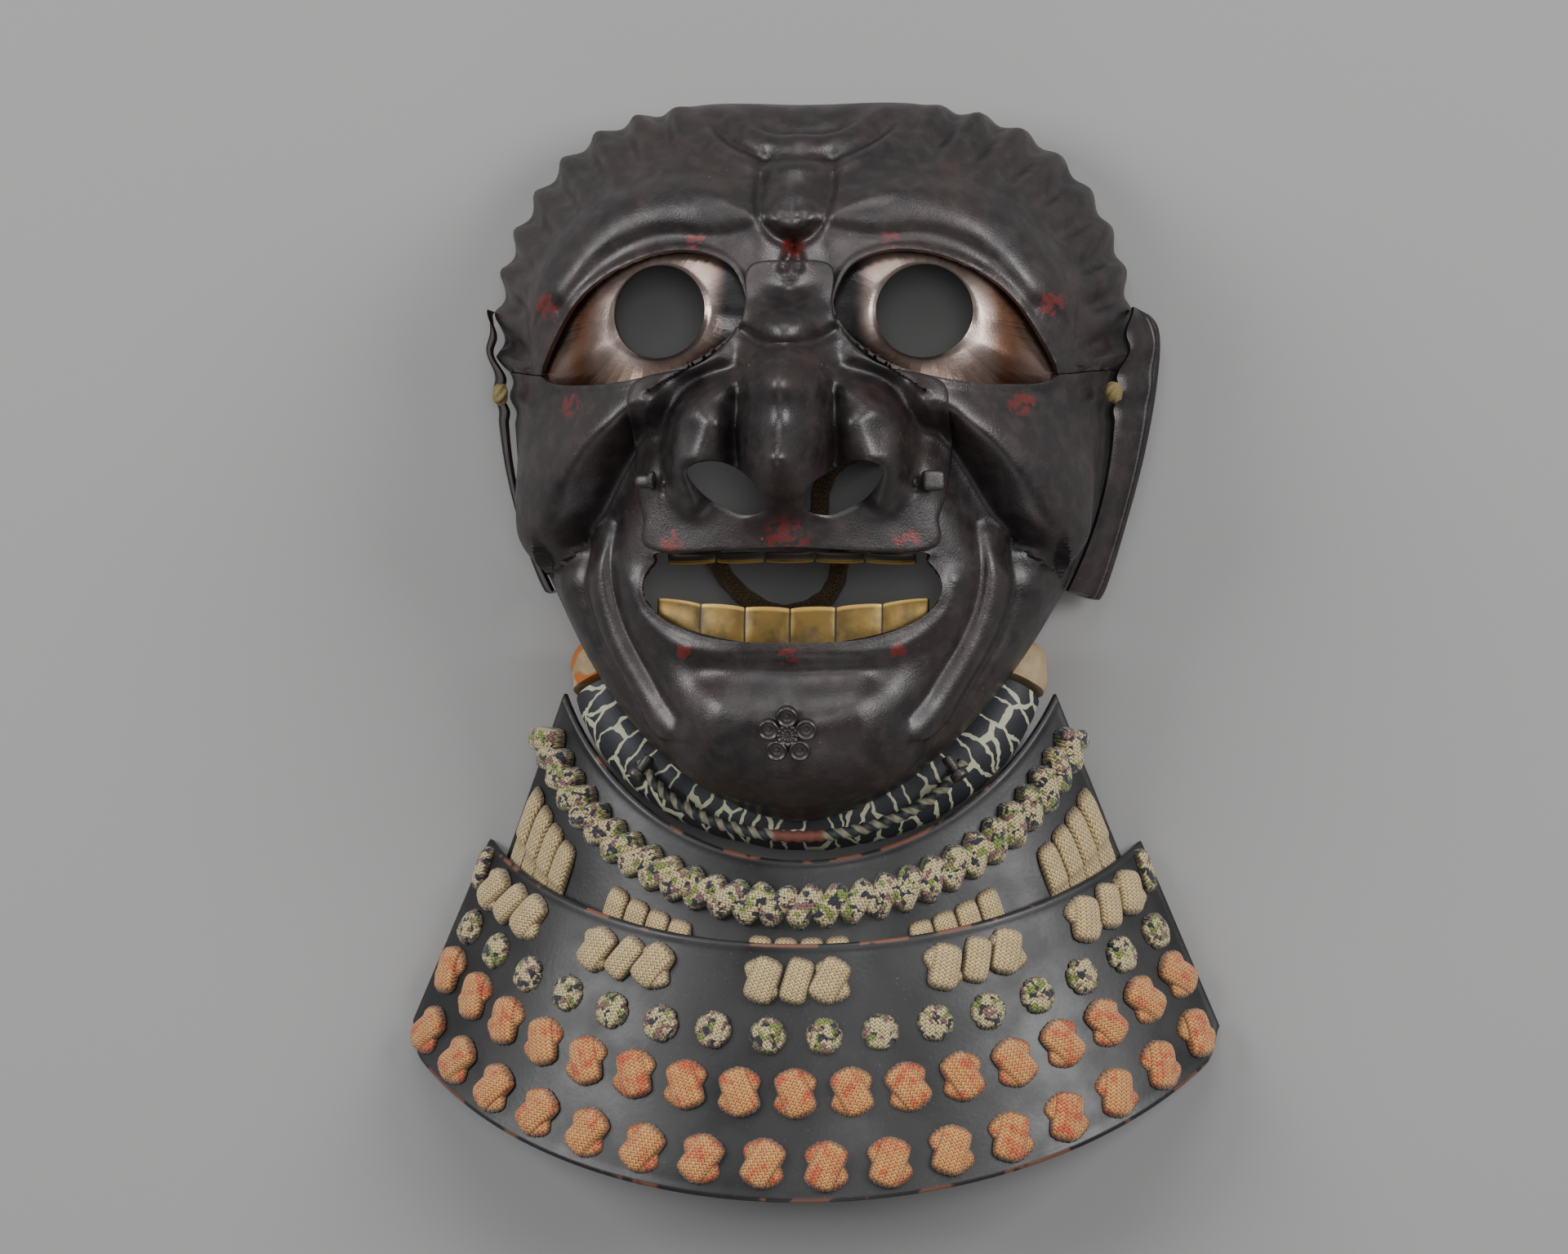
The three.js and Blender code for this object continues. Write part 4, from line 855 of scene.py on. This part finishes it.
def finger(bands, across, tip, lean):
    """A flat lace from its tip down behind the lower lame, lying on the next one like a shingle."""
    def place(right, up, lift):
        share = np.clip(0.5 - up / FINGER_LENGTH, 0, 1)
        down = tip + (0.9 - tip) * share
        high = (0.45 + 0.55 * smooth(0, 0.25, share)) * (1 - 0.7 * smooth(0.56, 0.66, share))
        tilt = 1 + 0.16 * lean * right / 4.6
        at = HALF + 0.35 + (lift - HALF) * high * tilt
        return on_fan(UPPER_LAME, across + right / UPPER_ARC, down, at)
    bands.add(place, 9.4, FINGER_LENGTH, 2.6, HALF, rows=34, blunt=10)


def lace_rope(count=28, samples=400):
    """The thick lacing of the upper lame: slanted stitches over others that slant back."""
    across = np.linspace(-0.975, 0.975, samples)
    down = 0.33 - 0.12 * across ** 2
    line = on_fan(UPPER_LAME, across, down, HALF)
    steps = steps_along(line)
    bands = Bands()
    for lower in (True, False):
        for i in range(count):
            places = np.arange(samples)
            at = np.interp((i + (0.5 if lower else 0)) / (count - 0.5) * steps[-1], steps, places)
            near = min(int(at), samples - 2)
            centre = np.interp(at, places, across), np.interp(at, places, down)
            ahead = line[near + 1] - line[near]
            by_across = fan_slopes(UPPER_LAME, *centre)[0]
            turn = math.degrees(math.atan2(ahead[1], ahead[0]) - math.atan2(by_across[1], by_across[0]))
            if lower:
                bands.add(turned_band(UPPER_LAME, centre, -44 - turn), 6, 12.6, 3.4, HALF + 0.3, blunt=3)
            else:
                slant = 44 + chance.normal(0, 4)
                bands.add(turned_band(UPPER_LAME, centre, slant - turn), 7.8, 13.6, 5.4, HALF + 0.5, blunt=3)
    bands.build("rope_lacing", SILK_MIXED, "mixed_silk")


# ------------------------------------------------------------------ collar, piping and cord
def tube(path, wide, tall, sides):
    """Rings about a path: middle + wide cos(a) across + tall sin(a) up, closed at both ends."""
    ahead = np.gradient(path, axis=0)
    ahead /= np.linalg.norm(ahead, axis=1, keepdims=True)
    across = np.cross(ahead, (0, 0, 1.0))
    across /= np.linalg.norm(across, axis=1, keepdims=True)
    up = np.cross(across, ahead)
    angle = np.linspace(0, TAU, sides, endpoint=False)
    rings = (path[:, None] + wide[..., None] * (across[:, None] * np.cos(angle)[None, :, None])
             + tall[..., None] * (up[:, None] * np.sin(angle)[None, :, None]))
    poles = path[:1] - ahead[:1] * 0.01, path[-1:] + ahead[-1:] * 0.01
    return np.vstack([rings.reshape(-1, 3), *poles]), poled_faces(len(path), sides)


def collar_line(reach, side, middle, start, stop, parts):
    """x = reach sin(a), and (y, z) goes from side to middle by cos(a); start and stop in right angles."""
    angle = np.linspace(start, stop, parts) * math.pi / 2
    height = np.cos(angle)
    return np.stack([reach * np.sin(angle), side[0] + (middle[0] - side[0]) * height,
                     side[1] + (middle[1] - side[1]) * height], -1)


def tube_marks(path, sides, radius):
    """UV in millimetres: along the path and round the tube, with a pole at each end."""
    u, v = np.meshgrid(steps_along(path), np.arange(sides) / sides * TAU * radius, indexing="ij")
    uv = np.stack([u.ravel(), v.ravel()], -1)
    return np.vstack([uv, uv[:1], uv[-1:]])


ROLL = (61, (1, 15.5), (-47.5, 35.5))       # reach, side and middle of the collar roll


def collar(end=0.84, rings=260, sides=72, tip_rings=50, tip_sides=48):
    """A soft stuffed roll with a few creases, tan ends and a thin piping along the neck."""
    path = collar_line(*ROLL, -end, end, rings)
    t = np.linspace(-end, end, rings)[:, None]
    a = np.linspace(0, TAU, sides, endpoint=False)
    crease = 0.35 * np.sin(t * 31 + 1.5 * np.sin(a)) * np.sin(t * 12 + a) + 0.3 * np.sin(3 * a + t * 5)
    radius = 10.3 + 0.7 * crease
    points, faces = tube(path, radius, radius, sides)
    roll = add_mesh("collar_roll", points, [f[:, ::-1] for f in faces], PRINT_FINISH, "printed_leather",
                    uv=tube_marks(path, sides, 10.5), sharp=60)
    for word, sign in (("left", -1), ("right", 1)):
        path = collar_line(*ROLL, sign * 0.865, sign * 1.035, tip_rings)
        t = np.linspace(0, 1, tip_rings)[:, None]
        gathers = 1 + 0.03 * np.sin(np.linspace(0, TAU, tip_sides) * 5 + t * 9)
        radius = 10.5 * np.sqrt(1 - t ** 4 * 0.97) * gathers
        points, faces = tube(path, radius, radius, tip_sides)
        faces = faces if sign < 0 else [f[:, ::-1] for f in faces]
        add_mesh(f"collar_end_{word}", points, faces, HIDE_FINISH, "tan_leather",
                 marks={"stain": np.full(len(points), sign < 0)}, sharp=60)
    path = collar_line(50, (-22, 38.3), (-53.4, 49.2), -0.8, 0.8, 300)
    radius = 1.7 + 0.2 * np.cos(np.arange(300) * 0.8)[:, None] * np.ones((1, 20))
    points, faces = tube(path, radius, radius, 20)
    add_mesh("collar_piping", points, [f[:, ::-1] for f in faces], PIPING_FINISH, "printed_leather",
             uv=tube_marks(path, 20, 2.4), sharp=60)


CORD_ROUTE = [(-84, 77, 16), (-78, 74, 9), (-66, 66, 3.5), (-48, 52, 3.5), (-34, 36, 3.5), (-24, 20, 3.2),
              (-10, 12, 3.5), (4, 17, 3.5), (8, 30, 3.5), (2, 42, 3.5), (6, 56, 3.5), (22, 62, 3.5),
              (42, 60, 3.2), (62, 66, 3.5), (78, 74, 9), (84, 77, 16)]


def head_cord():
    """A silk cord from temple to temple, lying folded inside the face."""
    path = spline(CORD_ROUTE, 16)
    angle = np.linspace(0, TAU, 24, endpoint=False)[None]
    twist = 1 + 0.05 * np.cos(3 * angle + np.arange(len(path))[:, None] * 0.9)
    points, faces = tube(path, 2.7 * twist, 2.2 * twist, 24)
    piece = add_mesh("head_cord", points, [f[:, ::-1] for f in faces], SILK_BROWN, "brown_silk",
                     uv=tube_marks(path, 24, 2.5), sharp=70)


# ------------------------------------------------------------------ silk, lacquer and leather
COLUMN = 1.6                      # millimetres of braid
STITCH = 1.15


def braid(tree, shader, colours):
    """Flat braid: V-shaped stitches in columns. phase = v / stitch + |2 frac(u / column) - 1| * 0.8."""
    apart = tree.node("SeparateXYZ", Vector=tree.uv())
    column = tree.math("DIVIDE", apart.outputs["X"], COLUMN)
    from_edge = tree.math("MULTIPLY", tree.math("FRACT", column), 2)
    from_middle = tree.math("ABSOLUTE", tree.math("SUBTRACT", from_edge, 1))
    phase = tree.math("ADD", tree.math("DIVIDE", apart.outputs["Y"], STITCH),
                      tree.math("MULTIPLY", from_middle, 0.8))
    hump = tree.math("SINE", tree.math("MULTIPLY", tree.math("FRACT", phase), math.pi))
    sunk = tree.math("MULTIPLY", tree.math("POWER", from_middle, 4), 0.6)
    lift = tree.math("MULTIPLY", tree.math("POWER", hump, 0.7), tree.math("SUBTRACT", 1.0, sunk))
    cell = tree.node("CombineXYZ", X=tree.math("FLOOR", column), Y=tree.math("FLOOR", phase))
    random = tree.node("TexWhiteNoise", Vector=cell.outputs["Vector"]).outputs["Value"]
    # Painted shade: the braid colour darkens in the low parts of each stitch.
    shade = tree.blend(tree.ramp(lift, 0.1, 0.75), (0.2, 0.16, 0.12), (1, 1, 1))
    # Painted shadow: the braid colour darkens towards the edges of each band, where bands meet and overlap.
    shade = tree.blend(tree.ramp(tree.mark("edge"), 0.76, 1, 0, 0.85), shade, (0.1, 0.07, 0.05))
    tinted = tree.nodes.nodes.new("ShaderNodeMix")
    tinted.data_type, tinted.blend_type = "RGBA", "MULTIPLY"
    tinted.inputs[0].default_value = 1
    tree.put(tinted.inputs[6], colours(tree, random))
    tree.put(tinted.inputs[7], shade)
    tree.put(shader.inputs["Base Color"], tinted.outputs[2])
    shader.inputs["Sheen Weight"].default_value = 0.25
    return lift


def silk(name, colours):
    return finish(name, (0.5, 0.4, 0.3), 0.72, grain=(3000, 0.9),
                  build=lambda tree, shader, grain: braid(tree, shader, colours))


def beige(tree, random):
    return tree.blend(random, (0.50, 0.36, 0.165), (0.60, 0.45, 0.22))


def orange(tree, random):
    """Faded orange with redder places, stronger on some crosses than on others."""
    patch = tree.math("ADD", tree.noise(260, 3), tree.math("MULTIPLY", tree.mark("tint"), 0.12))
    base = tree.blend(random, (0.58, 0.235, 0.058), (0.66, 0.31, 0.09))
    return tree.blend(tree.ramp(patch, 0.53, 0.74), base, (0.56, 0.085, 0.02))


def mixed(tree, random):
    """Cream with stitches of leaf green, plum and navy, thicker in patches."""
    jag = tree.math("MULTIPLY", random, 0.12)
    green = tree.math("ADD", tree.noise(240, 1), jag)
    plum = tree.math("ADD", tree.noise(310, 1), jag)
    navy = tree.math("ADD", tree.noise(380, 1), jag)
    colour = tree.blend(tree.ramp(green, 0.62, 0.63), (0.52, 0.43, 0.22), (0.17, 0.22, 0.035))
    colour = tree.blend(tree.ramp(plum, 0.65, 0.66), colour, (0.2, 0.09, 0.08))
    return tree.blend(tree.ramp(navy, 0.65, 0.66), colour, (0.007, 0.008, 0.022))


def brown(tree, random):
    return tree.blend(random, (0.115, 0.065, 0.025), (0.17, 0.10, 0.042))


def lacquer(tree, shader, grain):
    """Black lacquer, dusty in the middle and chipped to red-brown along the edge."""
    edge = tree.mark("from_edge")
    chipped = tree.math("MULTIPLY", tree.ramp(edge, 1.5, 0.6), tree.ramp(tree.noise(75, 3), 0.53, 0.57))
    dust = tree.ramp(tree.noise(30, 4), 0.35, 0.7)
    colour = tree.blend(dust, (0.0085, 0.008, 0.0085), (0.017, 0.016, 0.017))
    specks = tree.ramp(tree.noise(1300, 1), 0.72, 0.76)
    colour = tree.blend(tree.math("MULTIPLY", specks, 0.35), colour, (0.12, 0.11, 0.1))
    colour = tree.blend(chipped, colour, (0.14, 0.055, 0.035))
    tree.put(shader.inputs["Base Color"], colour)
    tree.put(shader.inputs["Roughness"], tree.ramp(tree.noise(60, 5), 0.3, 0.75, 0.36, 0.52))
    return grain


def leaf_print(tree, shader, grain):
    """Pale leaf outlines on a blue-black ground: the edges of long cells, bent by noise."""
    uv = tree.uv()
    warp = tree.node("TexNoise", Vector=uv, Scale=0.16, Detail=2)
    bent = tree.node("VectorMath", Vector=warp.outputs["Color"])
    bent.operation = "SCALE"
    bent.inputs["Scale"].default_value = 4
    moved = tree.nodes.nodes.new("ShaderNodeVectorMath")
    tree.put(moved.inputs[0], uv)
    tree.put(moved.inputs[1], bent.outputs["Vector"])
    shaped = tree.node("Mapping", Vector=moved.outputs["Vector"])
    shaped.inputs["Scale"].default_value = (1 / 5.2, 1 / 14, 1)
    cells = tree.node("TexVoronoi", Vector=shaped.outputs["Vector"], Scale=1)
    cells.feature = "DISTANCE_TO_EDGE"
    cells.voronoi_dimensions = "2D"
    width = tree.ramp(tree.noise(160, 2), 0.3, 0.7, 0.05, 0.1)
    line = tree.math("LESS_THAN", cells.outputs["Distance"], width)
    pale = tree.blend(tree.noise(420, 3), (0.30, 0.31, 0.2), (0.47, 0.46, 0.33))
    colour = tree.blend(line, (0.012, 0.0135, 0.019), pale)
    tree.put(shader.inputs["Base Color"], colour)
    return grain


def striped(tree, shader, grain):
    """Slanting stripes round the piping, with a worn red-brown bit at its middle."""
    apart = tree.node("SeparateXYZ", Vector=tree.uv())
    turn = tree.math("ADD", tree.math("DIVIDE", apart.outputs["X"], 5.2),
                     tree.math("DIVIDE", apart.outputs["Y"], 9))
    stripe = tree.ramp(tree.math("FRACT", turn), 0.3, 0.4)
    stripe = tree.math("MULTIPLY", stripe, tree.ramp(tree.math("FRACT", turn), 0.85, 0.75))
    colour = tree.blend(stripe, (0.012, 0.013, 0.016), (0.16, 0.15, 0.1))
    middle = tree.node("SeparateXYZ", Vector=tree.place)
    colour = tree.blend(tree.ramp(tree.math("ABSOLUTE", middle.outputs["X"]), 0.0085, 0.0065), colour,
                        (0.11, 0.03, 0.018))
    tree.put(shader.inputs["Base Color"], colour)
    return grain


def hide(tree, shader, grain):
    colour = tree.blend(tree.ramp(tree.noise(120, 4), 0.3, 0.7), (0.25, 0.18, 0.095), (0.37, 0.28, 0.16))
    stain = tree.math("MULTIPLY", tree.mark("stain"), tree.ramp(tree.noise(75, 2), 0.5, 0.56))
    colour = tree.blend(stain, colour, (0.33, 0.1, 0.02))
    tree.put(shader.inputs["Base Color"], colour)
    return grain


SILK_BEIGE = silk("beige_silk", beige)
SILK_ORANGE = silk("orange_silk", orange)
SILK_MIXED = silk("mixed_silk", mixed)
SILK_BROWN = silk("brown_silk", brown)
LACQUER_FINISH = finish("black_lacquer", (0.012, 0.012, 0.012), 0.42, grain=(700, 0.12), build=lacquer)
PRINT_FINISH = finish("printed_leather", (0.02, 0.02, 0.03), 0.62, grain=(1500, 0.35), build=leaf_print)
PIPING_FINISH = finish("striped_piping", (0.02, 0.02, 0.03), 0.65, grain=(1500, 0.35), build=striped)
HIDE_FINISH = finish("tan_leather", (0.33, 0.24, 0.13), 0.85, grain=(1200, 0.5), build=hide)


# ------------------------------------------------------------------ teeth, ears and fittings
TEETH_BEHIND = 1.8                # from the inner side of the lip
def teeth(name, half, y, bend, tall, count, columns=240, rows=12):
    """An arc of teeth; each one bulges by 0.6 * (1 - t^4) across its own width t from -1 to 1."""
    share, x = np.meshgrid(np.linspace(0, 1, rows), np.linspace(-half, half, columns), indexing="ij")
    base = y + bend * (x / half) ** 2
    turn = (x / half + 1) / 2 * count
    t = 2 * (turn % 1) - 1
    nick = 0.7 * np.abs(np.sin(turn * math.pi)) ** 0.5
    biting = share * (tall - 5 * (tall > 0) * (x / half) ** 2 + math.copysign(1, tall) * nick)
    bulge = 0.6 * (1 - np.abs(t) ** 4) * np.sin(share * math.pi * 0.75 + 0.3)
    z = face_height(x, base) - IRON - TEETH_BEHIND - 1.5 * share ** 1.5 + bulge
    outer = np.stack([x, base + biting, z], -1).reshape(-1, 3)
    inner = np.stack([x, base + biting, z - bulge - 0.9], -1).reshape(-1, 3)
    faces = grid_faces(rows, columns)
    faces = faces[:, ::-1] if tall < 0 else faces
    points, faces = closed_between(outer, inner, [faces[:, ::-1]])
    marks = {"joint": np.tile(np.abs(t).ravel(), 2), "bite": np.tile(share.ravel(), 2),
             "dark": np.full(len(points), tall < 0)}
    add_mesh(name, points, faces, GILT_FINISH, "gilt_tooth", marks=marks, sharp=60)


def ear(name, side, splay, columns=26, rows=150):
    """A long ear that flares from the side of the face, with a raised rim and rounded ends."""
    curve = spline([(97, 103), (102.6, 96), (102, 80), (98, 58), (91.5, 34), (87, 20), (84, 15)], 40)
    along = np.linspace(0, len(curve) - 1, rows)
    edge = np.stack([np.interp(along, np.arange(len(curve)), curve[:, k]) for k in (0, 1)], -1)
    turn = np.degrees(np.arctan2(edge[:, 0], edge[:, 1] - FACE_MIDDLE))
    root = rim_at(turn)[0] + 0.5
    reach = np.hypot(edge[:, 0], edge[:, 1] - FACE_MIDDLE)
    width = np.maximum(1.5, (reach - root) * splay)
    u = np.linspace(0, 1, rows)
    end = np.sqrt(np.clip(u / 0.08, 0.02, 1) * (2 - np.clip(u / 0.08, 0, 1)))
    end *= np.sqrt(np.clip((1 - u) / 0.07, 0.02, 1) * (2 - np.clip((1 - u) / 0.07, 0, 1)))
    t = np.linspace(0, 1, columns)[None]
    r = root[:, None] + width[:, None] * end[:, None] * t
    z = 17 - 12 * t + 0.8 * np.sin(t * TAU)
    z = z + 1.1 * np.exp(-((t - 0.9) / 0.07) ** 2) - 0.8 * (1 - end[:, None]) * t
    angle = np.radians(turn)[:, None]
    outer = np.stack([side * (r + 0.9) * np.sin(angle), FACE_MIDDLE + (r + 0.9) * np.cos(angle), z + 0.9], -1)
    inner = np.stack([side * r * np.sin(angle), FACE_MIDDLE + r * np.cos(angle), z - 0.3], -1)
    faces = grid_faces(rows, columns)
    faces = faces if side > 0 else faces[:, ::-1]
    points, faces = closed_between(outer.reshape(-1, 3), inner.reshape(-1, 3), [faces])
    iron_mesh(name, points, faces)


def turned(profile, place, direction, sides=40, ribs=0.0, count=0):
    """A turned piece: rings of radius r at height h along a direction, closed at both poles."""
    profile = spline(profile, 6)
    axis = np.array(direction, float) / np.linalg.norm(direction)
    side = np.cross(axis, (0.1, 0.2, 1))
    side /= np.linalg.norm(side)
    other = np.cross(axis, side)
    angle = np.linspace(0, TAU, sides, endpoint=False)
    r = np.maximum(profile[:, :1], 0) * (1 + ribs * np.cos(count * angle + profile[:, 1:] * 2.2))
    h = profile[:, 1:]
    points = (np.array(place, float) + r[..., None] * (side * np.cos(angle)[:, None]
              + other * np.sin(angle)[:, None]) + (h * np.ones(sides))[..., None] * axis)
    points = points[1:-1]
    poles = np.array(place) + axis * profile[[0, -1], 1:]
    return np.vstack([points.reshape(-1, 3), poles]), poled_faces(len(points), sides)


def joined(parts):
    """Several (points, faces) in one mesh."""
    start = np.concatenate([[0], np.cumsum([len(points) for points, _ in parts])[:-1]])
    faces = [f + s for (_, group), s in zip(parts, start) for f in group]
    return np.vstack([points for points, _ in parts]), faces


def rounded_block(middle, size, turn, power=5, rows=24, columns=40):
    """A hammered block: a superellipsoid |x|^n + |y|^n + |z|^n = 1, turned about Y."""
    a, b = np.meshgrid(np.linspace(-math.pi / 2, math.pi / 2, rows)[1:-1],
                       np.linspace(0, TAU, columns, endpoint=False), indexing="ij")
    ball = np.stack([np.cos(a) * np.cos(b), np.cos(a) * np.sin(b), np.sin(a)], -1)
    ball /= (np.abs(ball) ** power).sum(-1, keepdims=True) ** (1 / power)
    ball = np.vstack([ball.reshape(-1, 3), [(0, 0, -1), (0, 0, 1)]])
    points = ball * np.array(size) / 2
    cos, sin = math.cos(turn), math.sin(turn)
    points = np.stack([points[:, 0] * cos + points[:, 2] * sin, points[:, 1],
                       points[:, 2] * cos - points[:, 0] * sin], -1) + middle
    return points, poled_faces(rows - 2, columns)


def nose_height(x, y):
    x, y = np.array([x], float), np.array([y], float)
    return float((face_height(x, y) + lifted_by(x, y, NOSE_FORMS))[0])


def fittings():
    """Hooks of the nose plate, silk knots at the temples, and pegs under the jaw for the cord."""
    base = nose_height(41.6, 50) + 7.5 * GAP + IRON + 4.6
    block = rounded_block((41.6, 50, base), (6.5, 6, 3.6), 0.35)
    pin = joined([rounded_block((-41.6, 50, base), (6.4, 4.2, 3.4), -0.35, 2.6),
                  rounded_block((-39.6, 50.2, base + 0.3), (2.4, 5.4, 3.0), -0.35, 2.6)])
    for name, (points, faces) in (("nose_hook_right", block), ("nose_hook_left", pin)):
        iron_mesh(name, points, faces)
    for word, side in (("left", -1), ("right", 1)):
        knot = turned([(0, 0), (2.4, 0.3), (3.1, 2), (2.3, 3.8), (0, 4.4)], (side * 89.2, 77, 27),
                      (side, 0, 0.35), 48, 0.09, 5)
        add_mesh(f"temple_knot_{word}", *knot, KNOT_FINISH, "brown_silk")
        peg = turned([(0, 0), (1.7, 0), (1.5, 4.6), (2.6, 5.2), (2.4, 7.4), (0, 7.8)],
                     (side * 43.6, -30.2, 53), (side * 0.55, -0.75, 0.1))
        iron_mesh(f"cord_peg_{word}", *peg, sharp=40)


def chin_blossom():
    """Five round petals with a raised ring each, and a hatched heart."""
    middle = np.array([0.0, -23.0])
    step = 0.5
    z = face_height(np.array([0, 0, 0.0]), middle[1] + np.array([-step, 0, step]))
    slope = (z[2] - z[0]) / (2 * step)
    normal = np.array([0, -slope, 1]) / math.hypot(1, slope)
    up = np.array([0, 1, slope]) / math.hypot(1, slope)
    start = np.array([0, middle[1], z[1]])

    def disc(x, y, radius, lift, hatched, sides=48):
        r, a = np.meshgrid(np.linspace(0, radius, 16)[1:], np.linspace(0, TAU, sides, endpoint=False),
                           indexing="ij")
        ring = 0.75 * np.exp(-((r - radius * 0.8) / 0.4) ** 2)
        ring = ring + 0.35 * np.exp(-((r - radius * 0.45) / 0.5) ** 2)
        high = 0.35 + ring * (1 if not hatched else 0.7 + 0.5 * np.cos(a * 12) * (r > 1))
        high = np.where(r >= radius * 0.999, 0.1, high) + lift
        out = np.stack([r * np.cos(a) + x, r * np.sin(a) + y], -1)
        top = start + out[..., :1] * (1, 0, 0) + out[..., 1:] * up + high[..., None] * normal
        low = start + out[-1, :, :1] * (1, 0, 0) + out[-1, :, 1:] * up + (lift - 0.6) * normal
        middle = start + x * np.array([1, 0, 0]) + y * up
        rows = np.concatenate([top, low[None]])
        poles = middle + (lift + 0.6) * normal, middle + (lift - 0.6) * normal
        quads, first, last = poled_faces(len(rows), sides)
        return np.vstack([rows.reshape(-1, 3), *poles]), [quads, first[:, ::-1], last[:, ::-1]]

    parts = [disc(0, 0, 3.5, 0.55, True)]
    for i in range(5):
        angle = (i / 5 + 0.25) * TAU
        parts.append(disc(5.7 * math.cos(angle), 5.7 * math.sin(angle), 3.3, 0.5, False))
    points, faces = joined(parts)
    iron_mesh("chin_blossom", points, faces, sharp=60)


def gilt(tree, shader, grain):
    """Worn gilding: dark joints, dark upper teeth that keep their gold along the biting edge."""
    joint = tree.ramp(tree.mark("joint"), 0.93, 0.98)
    gold = tree.blend(tree.ramp(tree.noise(140, 4), 0.35, 0.7), (0.15, 0.092, 0.018), (0.065, 0.042, 0.014))
    gold = tree.blend(tree.ramp(tree.mark("bite"), 0.86, 0.95), gold, (0.4, 0.25, 0.06))
    dark = tree.math("MULTIPLY", tree.mark("dark"), tree.ramp(tree.mark("bite"), 0.75, 0.6))
    colour = tree.blend(tree.math("MAXIMUM", joint, dark), gold, (0.02, 0.014, 0.01))
    tree.put(shader.inputs["Base Color"], colour)
    return grain


def olive(tree, shader, grain):
    tree.put(shader.inputs["Base Color"],
             tree.blend(tree.noise(500, 3), (0.10, 0.07, 0.025), (0.25, 0.19, 0.075)))
    return grain


GILT_FINISH = finish("gilt_tooth", (0.2, 0.13, 0.03), 0.42, 0.6, grain=(500, 0.15), build=gilt)
KNOT_FINISH = finish("olive_knot", (0.15, 0.1, 0.04), 0.8, grain=(1400, 0.9), build=olive)


# ------------------------------------------------------------------ everything
studio()
head_cord()
face_plates()
nose_plate()
eye_plates()
teeth("upper_teeth", 36, 29.6, -0.5, -2.6, 5)
teeth("lower_teeth", 39.5, 2.6, 8, 10.4, 6)
ear("ear_left", -1, 0.35)
ear("ear_right", 1, 1)
fittings()
chin_blossom()
lame_plate("upper_lame", UPPER_LAME, 0)
lame_plate("lower_lame", LOWER_LAME, 0.08)
lace_rows()
lace_groups()
lace_rope()
collar()
